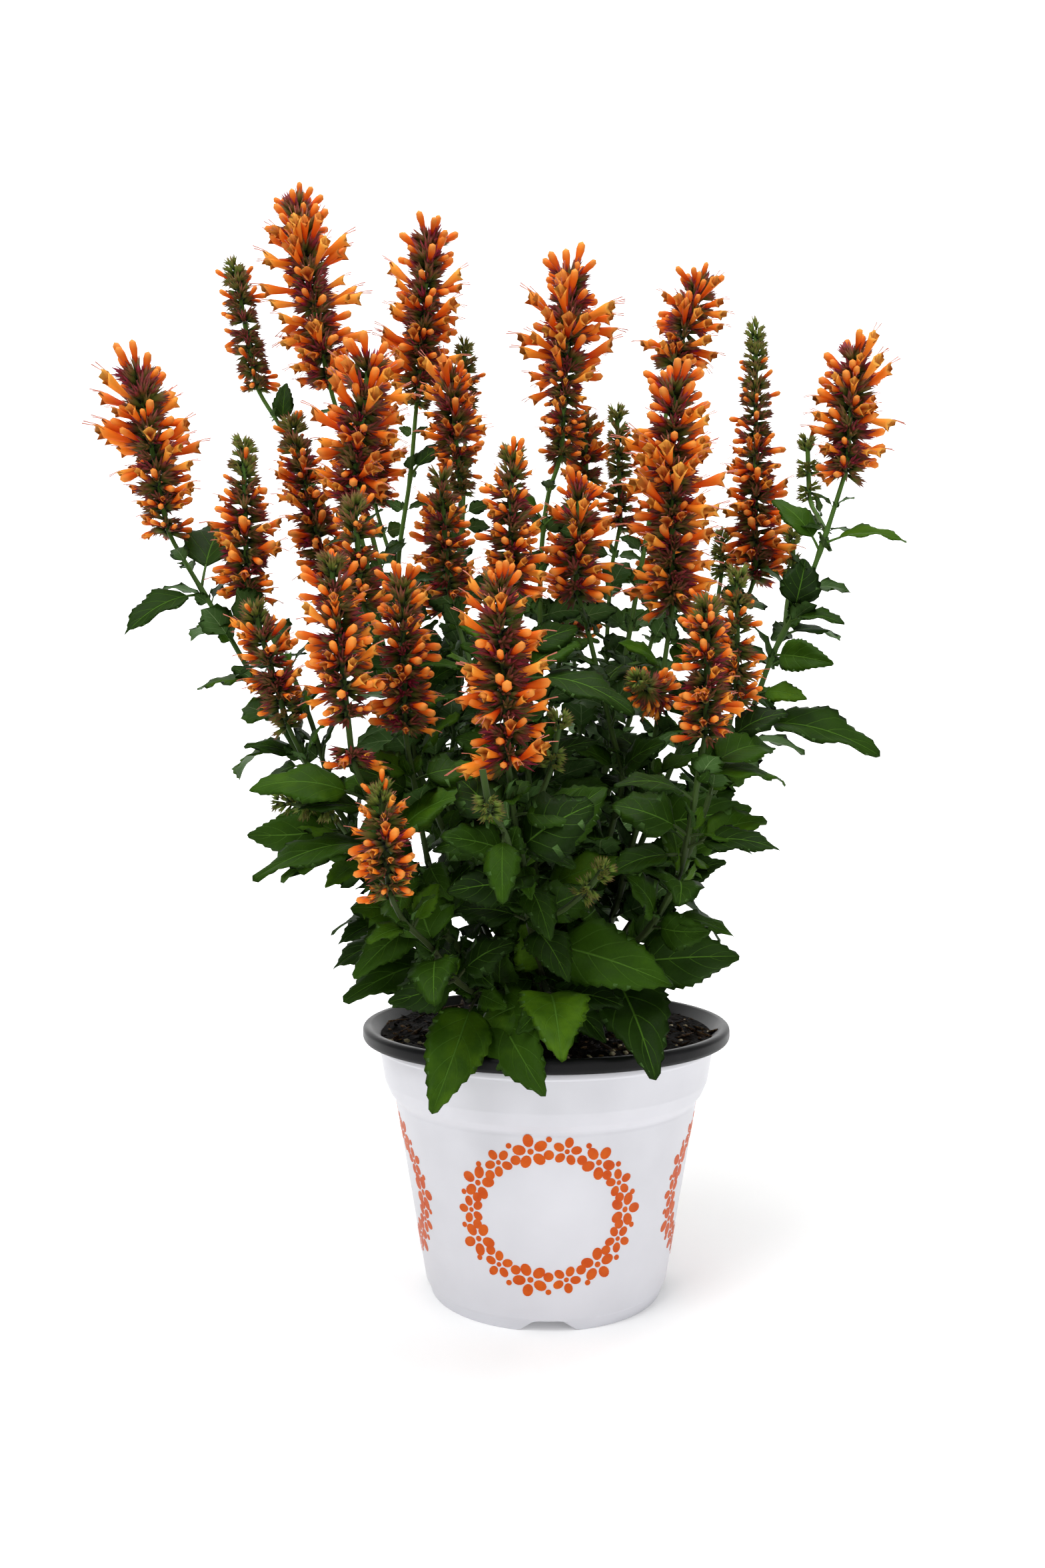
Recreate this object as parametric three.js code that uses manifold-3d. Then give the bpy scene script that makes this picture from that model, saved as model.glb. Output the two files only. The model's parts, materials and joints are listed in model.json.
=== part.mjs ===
// Potted giant hyssop in bloom: a white outer pot, a black grow pot with a rolled rim, soil,
// square leafy stems that rise from one crown, and a flower spike on every shoot.
// Millimetres, +Z up. The pot stands on z = 0 with its axis on Z, and its front faces -Y.

import * as THREE from "three";
import { mergeVertices } from "three/addons/utils/BufferGeometryUtils.js";
import Module from "manifold-3d";

const wasm = await Module();
wasm.setup();

// Driving dimensions of the pot
const POT_SIDES = 24;
const RIM_RADIUS = 102;
const RIM_TOP = 147;
const RIM_DROP = 7.5;
const RIM_ROLL = 2.5;
const RIM_WALL = 1.6;
const RIM_BREADTH = 5;
const COLLAR_RADIUS = 94;
const COLLAR_TOP = 138;
const LIP_RISE = 2;
const SHOULDER_HEIGHT = 107;
const SHOULDER_RISE = 3.5;
const SHOULDER_STEP = 3;
const BELLY_RISE = 10.5;
const BELLY_RADIUS = 90;
const BODY_RADIUS = 84;
const FOOT_RADIUS = 67;
const SEAM_HEIGHT = 7;
const COVER_WALL = 1.6;
const GROW_WALL = 1.4;
const SEAT_GAP = 0.3;
const NEST_GAP = 0.5;
const FLOOR_HEIGHT = 8;
const PAD_RADIUS = 14;
const PAD_TAPER = 1;
const FOOT_RING = 8;
const FOOT_TAPER = 3;
const SEAM_STEP = 1;
const NOTCHES = 4;
const NOTCH_WIDTH = 31;
const NOTCH_TOP = 12;
const NOTCH_HEIGHT = 6;
const DRAIN_RADIUS = 5;
const DRAIN_SIDES = 8;
const DRAIN_PLACE = 46;

// Driving dimensions of the soil
const SOIL_TOP = 143;
const SOIL_EDGE_DROP = 1;
const SOIL_GAP = 0.4;
const SOIL_RELIEF = 1.4;
const RELIEF_PITCH = 40;
const FLAT_SHARE = 0.4;
const RELIEF_SHARE = 0.7;
const HOLE_RADIUS = 3.2;
const HOLE_SIDES = 6;
const HOLE_DEPTH = 11;

// Driving dimensions of the stems and leaves
const STEM_SIDES = 4;
const STEM_RADIUS = 2.1;
const BRANCH_RADIUS = 1.5;
const STALK_RADIUS = 1.3;
const NODE_HEIGHT = 3.2;
const NODE_PITCH = 4.2;
const SHARED_NODE = 2.6;
const BEND_CLEARANCE = 6.4;
const CROWN_RISE = 3;
const PETIOLE = 0.2;
const PETIOLE_RADIUS = 0.8;
const BLADE_THICKNESS = 1.4;
const BLADE_BREADTH = 0.5;
const BLADE_ARCH = 0.13;
const BLADE_BELLY = 0.72;
const BLADE_FOLD = THREE.MathUtils.degToRad(16);
const TEETH_LARGE = 4;
const TEETH_SMALL = 3;
const SMALL_LEAF = 54;
const TOOTH_LEAN = 0.62;
const NOTCH_DEPTH = 0.84;
const LEAF_ROOM = 2.4;
const OBSTACLE_STEP = 4;
const LEAF_CLEAR_OF_BASE = 10;
const PROBE_SHARES = [0, 0.2, 0.4, 0.6, 0.8];

// Driving dimensions of the flower spikes
const SPIKE_SIDES = 5;
const WHORL_PITCH = 17.5;
const FEWEST_WHORLS = 3;
const CALYX_RADIUS = 8.2;
const CALYX_SHARE = 0.5;
const WAIST_SHARE = 0.62;
const BUD_LIMIT = 12.5;
const BARE_LIMIT = 6;
const SHOULDER_PLACE = 0.35;
const WAIST_PLACE = 0.93;
const TIER_TURN = 0.25;
const SHORTEST_FLORET = 2.5;
const MOUTH_RADIUS = 3.6;
const FLORET_VARIATION = 0.2;
const TILT_VARIATION = 0.3;
const TILT_RISE = 1.5;
const FLORET_TILT_LOW = THREE.MathUtils.degToRad(-4);
const FLORET_TILT_HIGH = THREE.MathUtils.degToRad(52);
const LIP_TURN = THREE.MathUtils.degToRad(-150);
const SEEDS_PER_SPIKE = 100;

const UP = new THREE.Vector3(0, 0, 1);
const BACKWARD = new THREE.Vector3(0, 1, 0);
const FORWARD = new THREE.Vector3(0, -1, 0);

// The layout is drawn as an eye 700 mm in front of the pot sees it: every place is [across, height, depth],
// where across and height are read on the upright plane through the pot's axis, and depth (negative to the
// front) slides the point along its line of sight.
const EYE_ACROSS = -13.1;
const EYE_HEIGHT = 279.6;
const EYE_DISTANCE = 700;

function spreadAt(depth) {
  return (EYE_DISTANCE + depth) / EYE_DISTANCE;
}

function place([across, height, depth]) {
  const spread = spreadAt(depth);
  return new THREE.Vector3(
    EYE_ACROSS + (across - EYE_ACROSS) * spread,
    depth,
    EYE_HEIGHT + (height - EYE_HEIGHT) * spread,
  );
}

// Flower spikes: the axis from base to tip, and how far the florets reach from it, base to tip.
// A short reach is a bud, and 0 leaves the axis bare.
const SPIKES = {
  spike_a: { base: [-213, 424, -20], tip: [-230, 513, -20], reach: [13, 16, 24, 28, 28, 20] },
  spike_b: { base: [-163, 504, 60], tip: [-175, 571, 60], reach: [10, 12, 12, 11, 7] },
  spike_c: { base: [-123, 509, 40], tip: [-141, 607, 40], reach: [20, 22, 26, 26, 26, 24, 18] },
  spike_d: { base: [-72, 497, 78], tip: [-65, 589, 78], reach: [10, 22, 22, 22, 23, 18] },
  spike_e: { base: [-109, 440, -25], tip: [-99, 520, -25], reach: [18, 26, 29, 29, 27, 20] },
  spike_f: { base: [-48, 446, 42], tip: [-54, 511, 42], reach: [10, 12, 19, 19, 13] },
  spike_g: { base: [-45, 496, 108], tip: [-46, 526, 108], reach: [9, 11, 7] },
  spike_h: { base: [9, 466, 30], tip: [14, 569, 30], reach: [12, 13, 13, 25, 27, 27, 20] },
  spike_i: { base: [73, 517, 80], tip: [87, 562, 80], reach: [18, 22, 22, 16] },
  spike_j: { base: [71, 384, -10], tip: [72, 509, -10], reach: [20, 26, 24, 28, 28, 27, 27, 20] },
  spike_k: { base: [118, 399, 60], tip: [118, 535, 60], reach: [18, 20, 18, 14, 12, 11, 9, 6] },
  spike_l: { base: [169, 457, 10], tip: [174, 526, 10], reach: [16, 20, 22, 22, 17] },
  spike_m: { base: [148, 443, 50], tip: [147, 473, 50], reach: [6, 7, 6] },
  spike_n: { base: [-168, 391, -30], tip: [-170, 471, -30], reach: [15, 20, 20, 14, 11, 8] },
  spike_o: { base: [-146, 316, -70], tip: [-164, 378, -70], reach: [11, 17, 18, 16, 10] },
  spike_p: { base: [-124, 402, 20], tip: [-143, 483, 20], reach: [16, 18, 17, 14, 10] },
  spike_q: { base: [-109, 295, -115], tip: [-121, 406, -115], reach: [18, 0, 22, 22, 22, 20, 18, 12] },
  spike_r: { base: [-79, 314, -86], tip: [-81, 393, -86], reach: [17, 19, 18, 17, 13] },
  spike_s: { base: [-55, 391, 0], tip: [-59, 453, 0], reach: [15, 16, 14, 10] },
  spike_t: { base: [-20, 395, -40], tip: [-19, 466, -40], reach: [18, 20, 18, 14, 10] },
  spike_u: { base: [23, 443, 60], tip: [22, 486, 60], reach: [14, 15, 10] },
  spike_v: { base: [17, 389, -10], tip: [19, 445, -10], reach: [20, 22, 20, 14] },
  spike_w: { base: [42, 427, 110], tip: [40, 488, 110], reach: [13, 9, 9, 7] },
  spike_x: { base: [-21, 295, -130], tip: [-27, 394, -130], reach: [27, 22, 26, 27, 26, 22, 16] },
  spike_y: { base: [90, 310, -100], tip: [91, 381, -100], reach: [16, 20, 20, 17, 12] },
  spike_z: { base: [-88, 220, -130], tip: [-93, 276, -130], reach: [13, 16, 22, 14, 9] },
  spike_oa: { base: [-123, 265, -90], tip: [-148, 270, -98], reach: [6, 7, 5] },
  spike_lb: { base: [139, 402, 52], tip: [139, 419, 54], reach: [6, 6, 5] },
  spike_jb: { base: [62, 330, -26], tip: [51, 338, -48], reach: [14, 13, 8] },
  spike_kb: { base: [99, 400, 80], tip: [99, 420, 82], reach: [6, 7, 5] },
  spike_q2: { base: [-103, 383, -62], tip: [-108, 438, -62], reach: [15, 16, 15, 11] },
  spike_xa: { base: [-32, 267, -165], tip: [-36, 290, -168], reach: [7, 8, 5] },
  spike_xb: { base: [4, 293, -100], tip: [8, 315, -102], reach: [6, 7, 5] },
  spike_xc: { base: [23, 220, -110], tip: [33, 232, -118], reach: [5, 6, 5] },
  spike_yb: { base: [107, 331, -60], tip: [108, 397, -60], reach: [14, 14, 13, 11, 8] },
  spike_back_a: { base: [-96, 440, 140], tip: [-99, 500, 142], reach: [14, 20, 19, 12] },
  spike_back_b: { base: [-57, 380, 126], tip: [-61, 440, 130], reach: [16, 19, 16, 10] },
  spike_back_c: { base: [68, 396, 138], tip: [70, 470, 140], reach: [15, 20, 20, 12] },
  spike_back_d: { base: [15, 368, 132], tip: [15, 432, 136], reach: [16, 19, 17, 10] },
};

// A leaf set where it grows: the height on its shoot that it leaves from, its tip, and its breadth
// as seen from the front.
function leaf(from, tip, seen) {
  return { from, tip, seen };
}

// A pair of opposite leaves: the height they leave from, the compass angle of the first, and their length.
function pair(from, heading, length) {
  return { from, heading, length };
}

// Leafy stems: where each stands in the soil, its route from the soil up to its spike, its leaves,
// its pairs of leaves and its side branches.
const STEMS = {
  stem_a: {
    foot: [-22, 0],
    route: [
      [-44, 172, -8], [-75, 200, -14], [-112, 258, -22],
      [-146, 308, -26], [-181, 368, -24], [-209, 415, -20],
    ],
    spike: "spike_a",
    leaves: [
      leaf(386, [-237, 363, -48], 13),
      leaf(389, [-178, 425, 12], 16),
      leaf(203, [-117, 189, -34], 10),
      leaf(300, [-172, 282, 14], 14),
    ],
    pairs: [pair(228, 80, 44)],
    branches: [{
      from: 268,
      route: [[-131, 312, -38], [-143, 342, -38], [-151, 357, -35], [-161, 380, -31]],
      spike: "spike_n",
      leaves: [leaf(361, [-199, 360, 6], 9)],
    }],
  },
  stem_b: {
    foot: [-19, 9],
    route: [[-32, 180, 18], [-52, 260, 30], [-80, 350, 38], [-103, 440, 42], [-120, 498, 40]],
    spike: "spike_c",
    pairs: [pair(205, 150, 52), pair(245, 60, 48), pair(372, 100, 38)],
    branches: [
      {
        from: 264,
        route: [[-72, 300, 44], [-98, 370, 56], [-122, 430, 60], [-147, 477, 60], [-159, 496, 60]],
        spike: "spike_b",
        leaves: [leaf(478, [-146, 505, 76], 7)],
        pairs: [pair(330, 70, 38)],
      },
      {
        from: 302,
        route: [[-88, 340, 28], [-110, 375, 22], [-122, 396, 20]],
        spike: "spike_p",
      },
    ],
  },
  stem_d: {
    foot: [-11, 18],
    route: [[-25, 190, 38], [-52, 275, 56], [-76, 355, 68], [-83, 398, 74], [-76, 454, 77], [-73, 489, 78]],
    spike: "spike_d",
    leaves: [leaf(452, [-52, 470, 86], 8)],
    pairs: [pair(212, 92, 54), pair(250, 20, 50), pair(330, 140, 44)],
    branches: [
      {
        from: 284,
        route: [[-49, 330, 52], [-47, 400, 44], [-48, 438, 42]],
        spike: "spike_f",
        pairs: [pair(352, 75, 40)],
      },
      {
        from: 306,
        route: [[-52, 350, 82], [-47, 421, 100], [-45, 488, 108]],
        spike: "spike_g",
      },
    ],
  },
  stem_e: {
    foot: [-11, -3],
    route: [
      [-28, 185, -12], [-56, 250, -19], [-78, 305, -19],
      [-92, 360, -15], [-103, 415, -18], [-108, 432, -24],
    ],
    spike: "spike_e",
    pairs: [pair(212, 100, 50), pair(268, 30, 48), pair(340, 120, 40)],
    branches: [{
      from: 290,
      route: [[-82, 330, -40], [-97, 366, -57], [-102, 378, -61]],
      spike: "spike_q2",
    }],
  },
  stem_h: {
    foot: [2, 10],
    route: [[2, 200, 18], [-2, 290, 26], [-3, 398, 30], [1, 440, 30], [7, 459, 30]],
    spike: "spike_h",
    leaves: [leaf(424, [30, 436, 16], 8), leaf(426, [-28, 448, 30], 7)],
    pairs: [pair(222, 95, 50), pair(262, 175, 48), pair(345, 20, 42)],
    branches: [{
      from: 300,
      route: [[8, 350, 46], [18, 405, 57], [22, 436, 60]],
      spike: "spike_u",
    }],
  },
  stem_i: {
    foot: [13, 17],
    route: [[19, 190, 34], [32, 280, 54], [48, 370, 68], [62, 450, 76], [71, 510, 80]],
    spike: "spike_i",
    leaves: [leaf(452, [80, 472, 70], 7), leaf(455, [46, 476, 84], 6)],
    pairs: [pair(215, 136, 54), pair(255, 40, 50), pair(330, 70, 44)],
    branches: [{
      from: 288,
      route: [[34, 350, 86], [37, 400, 104], [41, 421, 110]],
      spike: "spike_w",
    }],
  },
  stem_j: {
    foot: [11, 3],
    route: [[38, 207, 0], [46, 236, -3], [56, 275, -7], [62, 310, -9], [67, 350, -10], [71, 377, -10]],
    spike: "spike_j",
    leaves: [leaf(256, [116, 266, -40], 28), leaf(226, [84, 215, -24], 18)],
    pairs: [pair(288, 110, 44), pair(342, 35, 38)],
    branches: [{
      from: 320,
      route: [[63, 327, -20]],
      spike: "spike_jb",
    }],
  },
  stem_k: {
    foot: [19, 10],
    route: [[36, 200, 24], [63, 270, 38], [88, 330, 50], [108, 372, 57], [116, 391, 60]],
    spike: "spike_k",
    pairs: [pair(225, 130, 54), pair(262, 45, 50), pair(312, 100, 42)],
    branches: [{
      from: 334,
      route: [[94, 366, 70], [98, 392, 79]],
      spike: "spike_kb",
    }],
  },
  stem_l: {
    foot: [22, 2],
    route: [
      [42, 192, 5], [70, 232, 8], [109, 304, 12], [128, 353, 12],
      [145, 387, 12], [155, 413, 11], [167, 450, 10],
    ],
    spike: "spike_l",
    leaves: [
      leaf(414, [203, 415, -2], 9),
      leaf(410, [127, 439, 28], 11),
      leaf(370, [168, 369, -14], 9),
      leaf(362, [165, 360, 40], 8),
      leaf(352, [162, 347, -22], 18),
      leaf(374, [146, 406, 44], 20),
      leaf(330, [147, 327, -12], 12),
      leaf(312, [188, 295, -16], 19),
    ],
    pairs: [pair(218, 160, 50), pair(262, 70, 48)],
    branches: [
      {
        from: 421,
        route: [[153, 430, 34], [149, 437, 46]],
        spike: "spike_m",
      },
      {
        from: 366,
        route: [[136, 383, 34], [139, 396, 49]],
        spike: "spike_lb",
      },
    ],
  },
  stem_o: {
    foot: [-20, -8],
    route: [[-38, 168, -22], [-78, 204, -46], [-116, 256, -60], [-138, 298, -68], [-144, 310, -70]],
    spike: "spike_o",
    leaves: [
      leaf(254, [-168, 251, -76], 22),
      leaf(240, [-159, 229, -48], 9),
      leaf(236, [-124, 221, -84], 11),
      leaf(192, [-120, 175, -64], 9),
      leaf(178, [-114, 157, -76], 17),
    ],
    branches: [{
      from: 248,
      route: [[-113, 254, -74], [-120, 262, -86]],
      spike: "spike_oa",
    }],
  },
  stem_q: {
    foot: [-15, -15],
    route: [[-34, 170, -40], [-60, 200, -66], [-84, 238, -88], [-99, 270, -102], [-107, 289, -113]],
    spike: "spike_q",
    leaves: [
      leaf(270, [-167, 276, -126], 15),
      leaf(243, [-165, 225, -134], 9),
      leaf(205, [-108, 170, -98], 15),
    ],
    pairs: [pair(262, 75, 40)],
    branches: [{
      from: 194,
      route: [[-66, 235, -80], [-74, 280, -86], [-79, 308, -88]],
      spike: "spike_r",
      leaves: [leaf(236, [-52, 214, -104], 13)],
      pairs: [pair(272, 20, 36)],
    }],
  },
  stem_t: {
    foot: [-2, -10],
    route: [[-4, 190, -20], [-8, 260, -32], [-14, 330, -38], [-19, 388, -40]],
    spike: "spike_t",
    leaves: [leaf(338, [50, 318, -62], 13)],
    pairs: [pair(216, 15, 50), pair(296, 100, 44), pair(352, 20, 36)],
    branches: [{
      from: 262,
      route: [[-28, 310, -24], [-45, 355, -8], [-54, 385, -1]],
      spike: "spike_s",
      pairs: [pair(332, 60, 36)],
    }],
  },
  stem_v: {
    foot: [9, -6],
    route: [[21, 200, -9], [37, 255, -12], [43, 284, -13], [38, 305, -13], [25, 360, -10], [19, 383, -10]],
    spike: "spike_v",
    leaves: [leaf(200, [43, 184, -36], 12)],
    pairs: [pair(232, 90, 48), pair(284, 175, 42), pair(332, 60, 36)],
  },
  stem_x: {
    foot: [2, -24],
    route: [
      [-2, 168, -46], [-8, 196, -72], [-11, 218, -90],
      [-14, 240, -106], [-18, 262, -118], [-21, 289, -129],
    ],
    spike: "spike_x",
    leaves: [
      leaf(225, [-56, 219, -126], 24),
      leaf(234, [34, 278, -78], 22),
      leaf(243, [17, 232, -130], 9),
      leaf(236, [-8, 214, -134], 12),
      leaf(190, [72, 166, -104], 28),
      leaf(200, [13, 168, -112], 14),
      leaf(262, [22, 258, -146], 12),
    ],
    branches: [
      {
        from: 226,
        route: [[-18, 236, -114], [-23, 252, -140], [-31, 265, -161]],
        spike: "spike_xa",
      },
      {
        from: 246,
        route: [[-7, 264, -102], [3, 288, -100]],
        spike: "spike_xb",
      },
      {
        from: 206,
        route: [[6, 207, -94], [20, 217, -108]],
        spike: "spike_xc",
      },
      {
        from: 172,
        route: [[0, 166, -64], [2, 159, -80]],
        leaves: [
          leaf(160, [-17, 139, -104], 15),
          leaf(162, [9, 123, -112], 13),
          leaf(164, [34, 134, -104], 15),
          leaf(166, [26, 162, -96], 10),
        ],
      },
    ],
  },
  stem_y: {
    foot: [14, -16],
    route: [
      [30, 172, -36], [56, 196, -62], [68, 214, -76],
      [76, 233, -85], [86, 285, -97], [89, 304, -100],
    ],
    spike: "spike_y",
    leaves: [
      leaf(270, [38, 278, -118], 9),
      leaf(240, [32, 225, -92], 10),
      leaf(286, [128, 299, -108], 16),
      leaf(282, [135, 279, -72], 8),
      leaf(244, [132, 242, -102], 10),
      leaf(200, [93, 197, -82], 20),
      leaf(180, [109, 183, -54], 30),
      leaf(176, [62, 113, -100], 26),
    ],
    branches: [{
      from: 216,
      route: [[86, 255, -72], [100, 300, -64], [106, 325, -60]],
      spike: "spike_yb",
    }],
  },
  stem_z: {
    foot: [-8, -21],
    route: [
      [-20, 158, -42], [-36, 161, -62], [-50, 169, -84],
      [-64, 187, -108], [-80, 203, -122], [-86, 214, -129],
    ],
    spike: "spike_z",
    leaves: [
      leaf(170, [-89, 157, -122], 22),
      leaf(162, [-64, 94, -112], 24),
      leaf(160, [0, 104, -120], 30),
      leaf(198, [-60, 224, -142], 10),
    ],
  },
  stem_back_a: {
    foot: [-3, 23],
    route: [[-14, 190, 58], [-40, 270, 92], [-68, 350, 118], [-88, 410, 132], [-95, 433, 139]],
    spike: "spike_back_a",
    pairs: [pair(215, 60, 52), pair(256, 128, 50), pair(325, 60, 44)],
    branches: [{
      from: 278,
      route: [[-48, 330, 112], [-56, 373, 124]],
      spike: "spike_back_b",
    }],
  },
  stem_back_c: {
    foot: [6, 22],
    route: [[16, 190, 58], [34, 270, 92], [54, 340, 118], [67, 389, 137]],
    spike: "spike_back_c",
    pairs: [pair(212, 120, 52), pair(262, 40, 50), pair(315, 110, 44)],
    branches: [{
      from: 240,
      route: [[20, 300, 106], [15, 361, 131]],
      spike: "spike_back_d",
    }],
  },
};

// A repeatable draw between 0 and 1 for each number.
function scatter(seed) {
  const wave = Math.sin(seed * 12.9898) * 43758.5453;
  return wave - Math.floor(wave);
}

// The value at a share of the way along a list of evenly spaced values.
function along(values, share) {
  const at = THREE.MathUtils.clamp(share, 0, 1) * (values.length - 1);
  const index = Math.min(Math.floor(at), values.length - 2);
  return THREE.MathUtils.lerp(values[index], values[index + 1], at - index);
}

// Two directions square to a given one, so that right, back and the given one are a right-handed frame.
function frameOf(direction) {
  const right = BACKWARD.clone().cross(direction).normalize();
  const back = direction.clone().cross(right);
  return { right, back };
}

// A closed surface grown ring by ring. A side that a band leaves open is where a shoot starts.
class Body {
  corners = [];
  faces = [];

  ring(points) {
    const first = this.corners.length;
    this.corners.push(...points);
    return points.map((point, index) => first + index);
  }

  face(...loop) {
    for (let i = 1; i < loop.length - 1; i += 1) {
      this.faces.push(loop[0], loop[i], loop[i + 1]);
    }
  }

  band(lower, upper, open = []) {
    lower.forEach((corner, side) => {
      const next = (side + 1) % lower.length;
      if (!open.includes(side)) {
        this.face(corner, lower[next], upper[next], upper[side]);
      }
    });
  }

  // Joins a ring to an open side, turned so that its corners meet the nearest ones.
  join(port, ring) {
    const turns = ring.map((corner, turn) => [...ring.slice(turn), ...ring.slice(0, turn)]);
    const twist = (loop) => loop.reduce(
      (sum, corner, index) => sum + this.corners[corner].distanceTo(this.corners[port[index]]),
      0,
    );
    turns.sort((a, b) => twist(a) - twist(b));
    this.band(port, turns[0]);
  }

  geometry() {
    const shape = new THREE.BufferGeometry().setFromPoints(this.corners);
    shape.setIndex(this.faces);
    const faceted = shape.toNonIndexed();
    faceted.computeVertexNormals();
    return faceted;
  }
}

// A shoot's route through space, measured along its length.
class Route {
  constructor(places, points) {
    this.places = places;
    this.points = points;
    this.marks = [0];
    points.slice(1).forEach((point, index) => {
      this.marks.push(this.marks[index] + point.distanceTo(points[index]));
    });
    this.length = this.marks.at(-1);
  }

  // How far along the route a height of the layout lies.
  reach(height) {
    const index = this.places.findIndex((spot, i) => (
      i > 0 && (this.places[i - 1][1] - height) * (spot[1] - height) <= 0
    ));
    const [low, high] = [this.places[index - 1][1], this.places[index][1]];
    const share = (height - low) / (high - low);
    return THREE.MathUtils.lerp(this.marks[index - 1], this.marks[index], share);
  }

  segment(mark) {
    const index = this.marks.findIndex((end, i) => i > 0 && mark <= end + 1e-6);
    return index < 0 ? this.points.length - 1 : index;
  }

  at(mark) {
    const index = this.segment(mark);
    const share = (mark - this.marks[index - 1]) / (this.marks[index] - this.marks[index - 1]);
    return this.points[index - 1].clone().lerp(this.points[index], share);
  }

  slope(index) {
    return this.points[index].clone().sub(this.points[index - 1]).normalize();
  }

  bend(index) {
    const before = this.slope(Math.max(index, 1));
    const after = this.slope(Math.min(index + 1, this.points.length - 1));
    return before.add(after).normalize();
  }

  direction(mark) {
    const index = this.segment(mark);
    const share = (mark - this.marks[index - 1]) / (this.marks[index] - this.marks[index - 1]);
    return this.bend(index - 1).lerp(this.bend(index), share).normalize();
  }
}

function spikeAxis(name) {
  const spike = SPIKES[name];
  const base = place(spike.base);
  const tip = place(spike.tip);
  const direction = tip.clone().sub(base);
  const length = direction.length();
  return { base, tip, length, direction: direction.normalize(), spread: spreadAt(spike.base[2]) };
}

// The layout height that gives a point at a world height and depth.
function layoutHeight(height, depth) {
  return EYE_HEIGHT + (height - EYE_HEIGHT) / spreadAt(depth);
}

// Lays out a shoot's route and those of its branches, from the soil or from its parent up to its spike.
function layOut(shoot, parent) {
  const places = [...shoot.route];
  const points = shoot.route.map(place);
  if (parent) {
    points.unshift(parent.at(parent.reach(shoot.from)));
    places.unshift([0, shoot.from, 0]);
  } else {
    const [x, y] = shoot.foot;
    [SOIL_TOP + CROWN_RISE, SOIL_TOP - HOLE_DEPTH + SEAT_GAP].forEach((height) => {
      points.unshift(new THREE.Vector3(x, y, height));
      places.unshift([x, layoutHeight(height, y), y]);
    });
  }
  if (shoot.spike) {
    const axis = spikeAxis(shoot.spike);
    shoot.top = axis.direction;
    points.push(axis.base.clone().addScaledVector(axis.direction, -SEAT_GAP));
    places.push(SPIKES[shoot.spike].base);
  }
  shoot.track = new Route(places, points);
  shoot.radii = parent
    ? [BRANCH_RADIUS, STALK_RADIUS]
    : [STEM_RADIUS, STALK_RADIUS];
  (shoot.branches ?? []).forEach((branch) => layOut(branch, shoot.track));
}

// A shoot and all that branches from it.
function shootsOf(shoot) {
  return [shoot, ...(shoot.branches ?? []).flatMap(shootsOf)];
}

// What a leaf keeps clear of: balls along the shoots and spikes, and on the leaves already set.
const obstacles = [];

function setObstacles() {
  shoots.forEach(({ track }) => {
    for (let mark = 0; mark < track.length; mark += OBSTACLE_STEP) {
      obstacles.push({ point: track.at(mark), room: STEM_RADIUS });
    }
  });
  Object.entries(SPIKES).forEach(([name, { reach }]) => {
    const { base, tip, length, spread } = spikeAxis(name);
    for (let mark = 0; mark <= length; mark += OBSTACLE_STEP) {
      const room = Math.max(along(reach, mark / length) * spread, STEM_RADIUS);
      obstacles.push({ point: base.clone().lerp(tip, mark / length), room });
    }
  });
}

// True where a point lies in the soil, in the pot's wall or rim, or too close to them.
function meetsPot(point) {
  const out = Math.hypot(point.x, point.y);
  if (point.z > RIM_TOP + LEAF_ROOM || out > RIM_RADIUS + LEAF_ROOM) {
    return false;
  }
  return out > COLLAR_RADIUS - 2 * LEAF_ROOM || point.z < SOIL_TOP + SOIL_RELIEF + LEAF_ROOM;
}

// The half breadth of a leaf along its blade: broadest below the middle, pointed at the tip.
function outline(share) {
  return Math.sin(Math.PI * share ** BLADE_BELLY);
}

// A leaf's shape: a midrib that arches from the shoot to the tip, and the way its blade faces.
function shapeLeaf(base, tip, facing, breadth) {
  const line = tip.clone().sub(base);
  const length = line.length();
  const heading = line.normalize();
  const square = (vector) => vector.clone().addScaledVector(heading, -vector.dot(heading));
  const normal = square(UP).multiplyScalar(Math.cos(facing))
    .addScaledVector(square(FORWARD), Math.sin(facing))
    .normalize();
  const middle = base.clone().lerp(tip, 0.5).addScaledVector(normal, 2 * BLADE_ARCH * length);
  const midrib = new THREE.QuadraticBezierCurve3(base, middle, tip);
  return { base, tip, length, heading, normal, midrib, breadth };
}

// Four corners across the blade: right edge, top of the midrib, left edge, underside.
function crossLeaf(shape, share, scale = 1) {
  const at = PETIOLE + (1 - PETIOLE) * share;
  const center = shape.midrib.getPoint(at);
  const forward = shape.midrib.getTangent(at);
  const normal = shape.normal.clone().addScaledVector(forward, -shape.normal.dot(forward)).normalize();
  const side = normal.clone().cross(forward);
  const half = Math.max(0.5 * shape.breadth * outline(share) * scale, PETIOLE_RADIUS);
  const thick = share > 0 ? BLADE_THICKNESS / 2 : PETIOLE_RADIUS;
  const offset = (across, lift) => center.clone()
    .addScaledVector(side, across)
    .addScaledVector(normal, lift);
  const rise = half * Math.sin(BLADE_FOLD);
  const reach = half * Math.cos(BLADE_FOLD);
  return [offset(reach, rise), offset(0, thick), offset(-reach, rise), offset(0, -thick)];
}

// The points by which a leaf's clearance is tested.
function probesOf(shape) {
  const probes = [shape.tip];
  PROBE_SHARES.forEach((share) => {
    const [right, top, left] = crossLeaf(shape, share);
    probes.push(right, top, left);
  });
  return probes;
}

function isClear(shape) {
  const probes = probesOf(shape);
  if (probes.some(meetsPot)) {
    return false;
  }
  return obstacles.every(({ point, room }) => (
    point.distanceTo(shape.base) < LEAF_CLEAR_OF_BASE
    || probes.every((probe) => probe.distanceTo(point) > room + LEAF_ROOM)
  ));
}

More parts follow.
